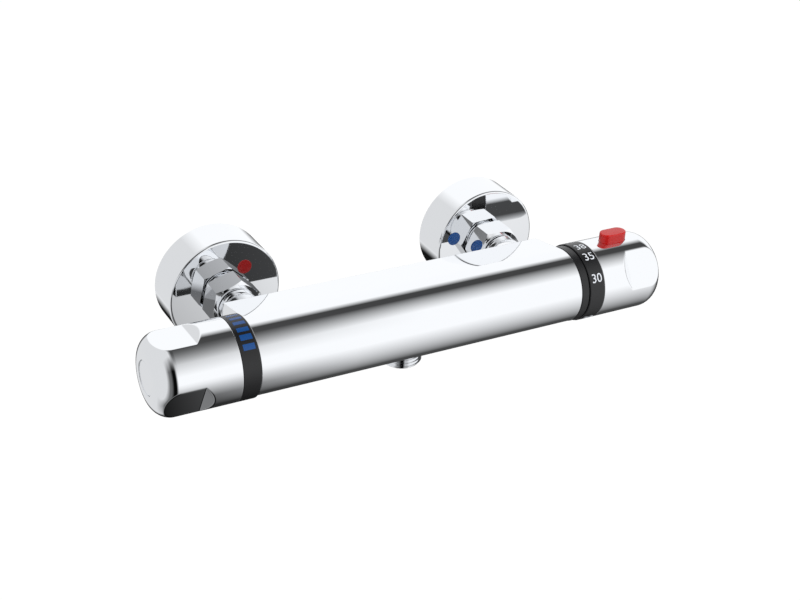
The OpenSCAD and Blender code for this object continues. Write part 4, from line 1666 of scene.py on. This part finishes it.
@dataclass
class Studio:
    """The camera, the soft light, the floor and the light tent round the chrome."""

    camera_place: Triple = (-0.31153, -0.59177, 0.33919)
    azimuth: float = -30.445
    elevation: float = 28.789
    roll: float = 3.448
    lens: float = 64.212
    sensor: float = 36.0
    nearest: float = 0.01
    farthest: float = 50.0
    key_lamp: Lamp = Lamp("key_lamp", (-0.5, -0.9, 1.1), 0.9, 9.0)
    side_lamp: Lamp = Lamp("side_lamp", (0.9, -0.5, 0.7), 0.8, 4.0)
    day: float = 0.72
    floor_level: float = -0.26
    floor_half: float = 20.0
    floor_tone: float = 0.9
    floor_rough: float = 0.9
    floor_glow: float = 1.05
    floor_glow_share: float = 0.9
    tent_radius: float = 1.0
    tent_length: float = 8.0
    tent_sides: int = 180
    tent_tint: Triple = (0.985, 0.995, 1.01)
    chrome_shine: float = 0.94
    full_level: float = 255.0
    gamma: float = 2.2
    cloth_level: float = 252.0
    left_wall: SoftPanel = SoftPanel(218.0, (-400, -399, 399, 400), (-5.0, -4.5, -0.35, -0.1))
    left_shade: SoftPanel = SoftPanel(108.0, (-125, -85, 35, 75), (-1.3, -0.8, -0.3, -0.1))
    front_gap: SoftPanel = SoftPanel(16.0, (-65, -35, 35, 75), (-0.65, -0.42, -0.18, 0.0))
    below: SoftPanel = SoftPanel(72.0, (-175, -158, -103, -15), (-0.3, -0.05, 4.0, 5.0))
    near_below: SoftPanel = SoftPanel(26.0, (-186, -163, -58, -5), (-0.3, -0.05, 0.15, 0.4))
    above: SoftPanel = SoftPanel(68.0, (47, 92, 107, 123), (-0.3, -0.05, 4.0, 5.0))
    near_above: SoftPanel = SoftPanel(74.0, (15, 82, 90, 105), (-0.3, -0.05, 0.1, 0.5))

    def camera(self) -> None:
        """Places the camera at the photograph's angle."""
        turn, lift, lean = (math.radians(a) for a in (self.azimuth, self.elevation, self.roll))
        back = Vector((math.sin(turn) * math.cos(lift), -math.cos(turn) * math.cos(lift),
                       math.sin(lift)))
        right = Vector((math.cos(turn), math.sin(turn), 0.0))
        up = back.cross(right)
        leaned_right = right * math.cos(lean) + up * math.sin(lean)
        leaned_up = up * math.cos(lean) - right * math.sin(lean)
        data = bpy.data.cameras.new("camera")
        data.sensor_width = self.sensor
        data.lens = self.lens
        data.clip_start = self.nearest
        data.clip_end = self.farthest
        holder = bpy.data.objects.new("camera", data)
        matrix = Matrix((leaned_right, leaned_up, back)).transposed().to_4x4()
        matrix.translation = Vector(self.camera_place)
        holder.matrix_world = matrix
        bpy.context.scene.collection.objects.link(holder)
        bpy.context.scene.camera = holder

    def hang(self, lamp: Lamp) -> None:
        """Adds a lamp that points at the bar.

        Args:
            lamp: The lamp.
        """
        data = bpy.data.lights.new(lamp.name, "AREA")
        data.shape = "SQUARE"
        data.size = lamp.size
        data.energy = lamp.power
        holder = bpy.data.objects.new(lamp.name, data)
        where = Vector(lamp.place)
        aim = (where - Vector((0.0, BAR_Y, 0.0))).to_track_quat("Z", "Y")
        holder.matrix_world = Matrix.Translation(where) @ aim.to_matrix().to_4x4()
        holder.visible_glossy = False
        bpy.context.scene.collection.objects.link(holder)

    def background_rays(self, tree: Tree) -> Socket:
        """One for camera, glossy and transmission rays, and nought for light that falls."""
        path = add_node(tree, "LightPath").outputs
        seen = math_node(tree, "MAXIMUM", path["Is Camera Ray"], path["Is Glossy Ray"])
        return math_node(tree, "MAXIMUM", seen, path["Is Transmission Ray"])

    def world(self) -> None:
        """White for what is seen, softer for the light that falls."""
        world = bpy.data.worlds.new("studio")
        bpy.context.scene.world = world
        world.use_nodes = True
        tree = world.node_tree
        shade = tree.nodes["Background"].inputs
        feed(tree, shade["Color"], (1.0, 1.0, 1.0, 1.0))
        feed(tree, shade["Strength"],
             ranged(tree, self.background_rays(tree), 0.0, 1.0, self.day, 1.0))

    def floor(self) -> None:
        """A wide pale floor that keeps the object's shadow."""
        mesh = bmesh.new()
        bmesh.ops.create_grid(mesh, x_segments=2, y_segments=2, size=self.floor_half)
        bmesh.ops.translate(mesh, verts=mesh.verts, vec=Z_AXIS * self.floor_level)
        piece = make_object("studio_floor", mesh)
        material = bpy.data.materials.new("pale_floor")
        material.use_nodes = True
        tree = material.node_tree
        shader = tree.nodes["Principled BSDF"]
        tone = (self.floor_tone, self.floor_tone, self.floor_tone, 1.0)
        for name, value in {
            "Base Color": tone, "Roughness": self.floor_rough, "Specular IOR Level": 0.0,
        }.items():
            feed(tree, shader.inputs[name], value)
        glow = add_node(tree, "Emission", {"Strength": self.floor_glow})
        share = math_node(tree, "MULTIPLY", self.background_rays(tree), self.floor_glow_share)
        mix = add_node(tree, "MixShader", {"Fac": share, 1: shader.outputs[0], 2: glow.outputs[0]})
        feed(tree, tree.nodes["Material Output"].inputs["Surface"], mix.outputs[0])
        piece.data.materials.append(material)
        piece.visible_glossy = False

    def tent(self) -> None:
        """The light tent, which only the gloss of the object sees."""
        mesh = bmesh.new()
        bmesh.ops.create_cone(mesh, cap_ends=True, segments=self.tent_sides,
                              radius1=self.tent_radius, radius2=self.tent_radius,
                              depth=self.tent_length)
        bmesh.ops.rotate(mesh, verts=mesh.verts, matrix=Matrix.Rotation(math.pi / 2.0, 3, "Y"))
        bmesh.ops.translate(mesh, verts=mesh.verts, vec=Y_AXIS * BAR_Y)
        piece = make_object("light_tent", mesh)
        piece.data.materials.append(self.tent_cloth())
        for ray in ("camera", "diffuse", "transmission", "volume_scatter", "shadow"):
            setattr(piece, f"visible_{ray}", False)

    def tent_cloth(self) -> bpy.types.Material:
        """White cloth hung with soft grey and black panels on the left, below and above.

        Returns:
            The glowing material.
        """
        material = bpy.data.materials.new("tent_cloth")
        material.use_nodes = True
        tree = material.node_tree
        tree.nodes.remove(tree.nodes["Principled BSDF"])
        where = add_node(tree, "TexCoord").outputs["Object"]
        x, y, z = add_node(tree, "SeparateXYZ", {0: where}).outputs
        lift = math_node(tree, "ARCTAN2", z, math_node(tree, "SUBTRACT", BAR_Y, y))
        degrees = math_node(tree, "DEGREES", lift)
        shade = self.light(self.cloth_level)
        for panel in (self.left_wall, self.left_shade, self.front_gap, self.below,
                      self.near_below, self.above, self.near_above):
            mask = math_node(tree, "MULTIPLY", self.span(tree, degrees, panel.angles),
                             self.span(tree, x, panel.places))
            shade = add_node(tree, "Mix", {
                "Factor": mask, "A": shade, "B": self.light(panel.level),
            }, data_type="FLOAT").outputs["Result"]
        glow = add_node(tree, "Emission", {"Color": (*self.tent_tint, 1.0), "Strength": shade})
        feed(tree, tree.nodes["Material Output"].inputs["Surface"], glow.outputs[0])
        return material

    def light(self, level: float) -> float:
        """The light that the chrome shows as a level."""
        return (level / self.full_level) ** self.gamma / self.chrome_shine

    def span(self, tree: Tree, value: Socket, stops: tuple[float, float, float, float]) -> Socket:
        """A mask that rises between the first two stops and falls between the last two."""
        start, full, full_until, end = stops
        return math_node(tree, "MULTIPLY", ranged(tree, value, start, full),
                         ranged(tree, value, end, full_until))

    def build(self) -> None:
        """Sets up the whole studio."""
        bpy.context.scene.view_settings.view_transform = "Standard"
        self.camera()
        self.world()
        self.floor()
        self.tent()
        self.hang(self.key_lamp)
        self.hang(self.side_lamp)


def main() -> None:
    """Builds the studio and every piece of the valve, in order."""
    logging.basicConfig(level=logging.INFO, format="%(message)s")
    Studio().build()
    paints = Paintbox()
    paints.dress_nodes()
    Bar(paints).build()
    Outlet(paints).build()
    WallInlet(paints, Side.HOT, nut_angle=17.8, dot_reach=12.4 * MM, dot_angle=53.0).build()
    WallInlet(paints, Side.COLD, nut_angle=3.7, dot_reach=8.4 * MM, dot_angle=165.0).build()
    FlowEnd(paints).build()
    button = SafetyButton(paints)
    TemperatureEnd(paints).build(button.slot_cutters())
    button.build()
    Springs(paints).build()


if __name__ == "__main__":
    main()
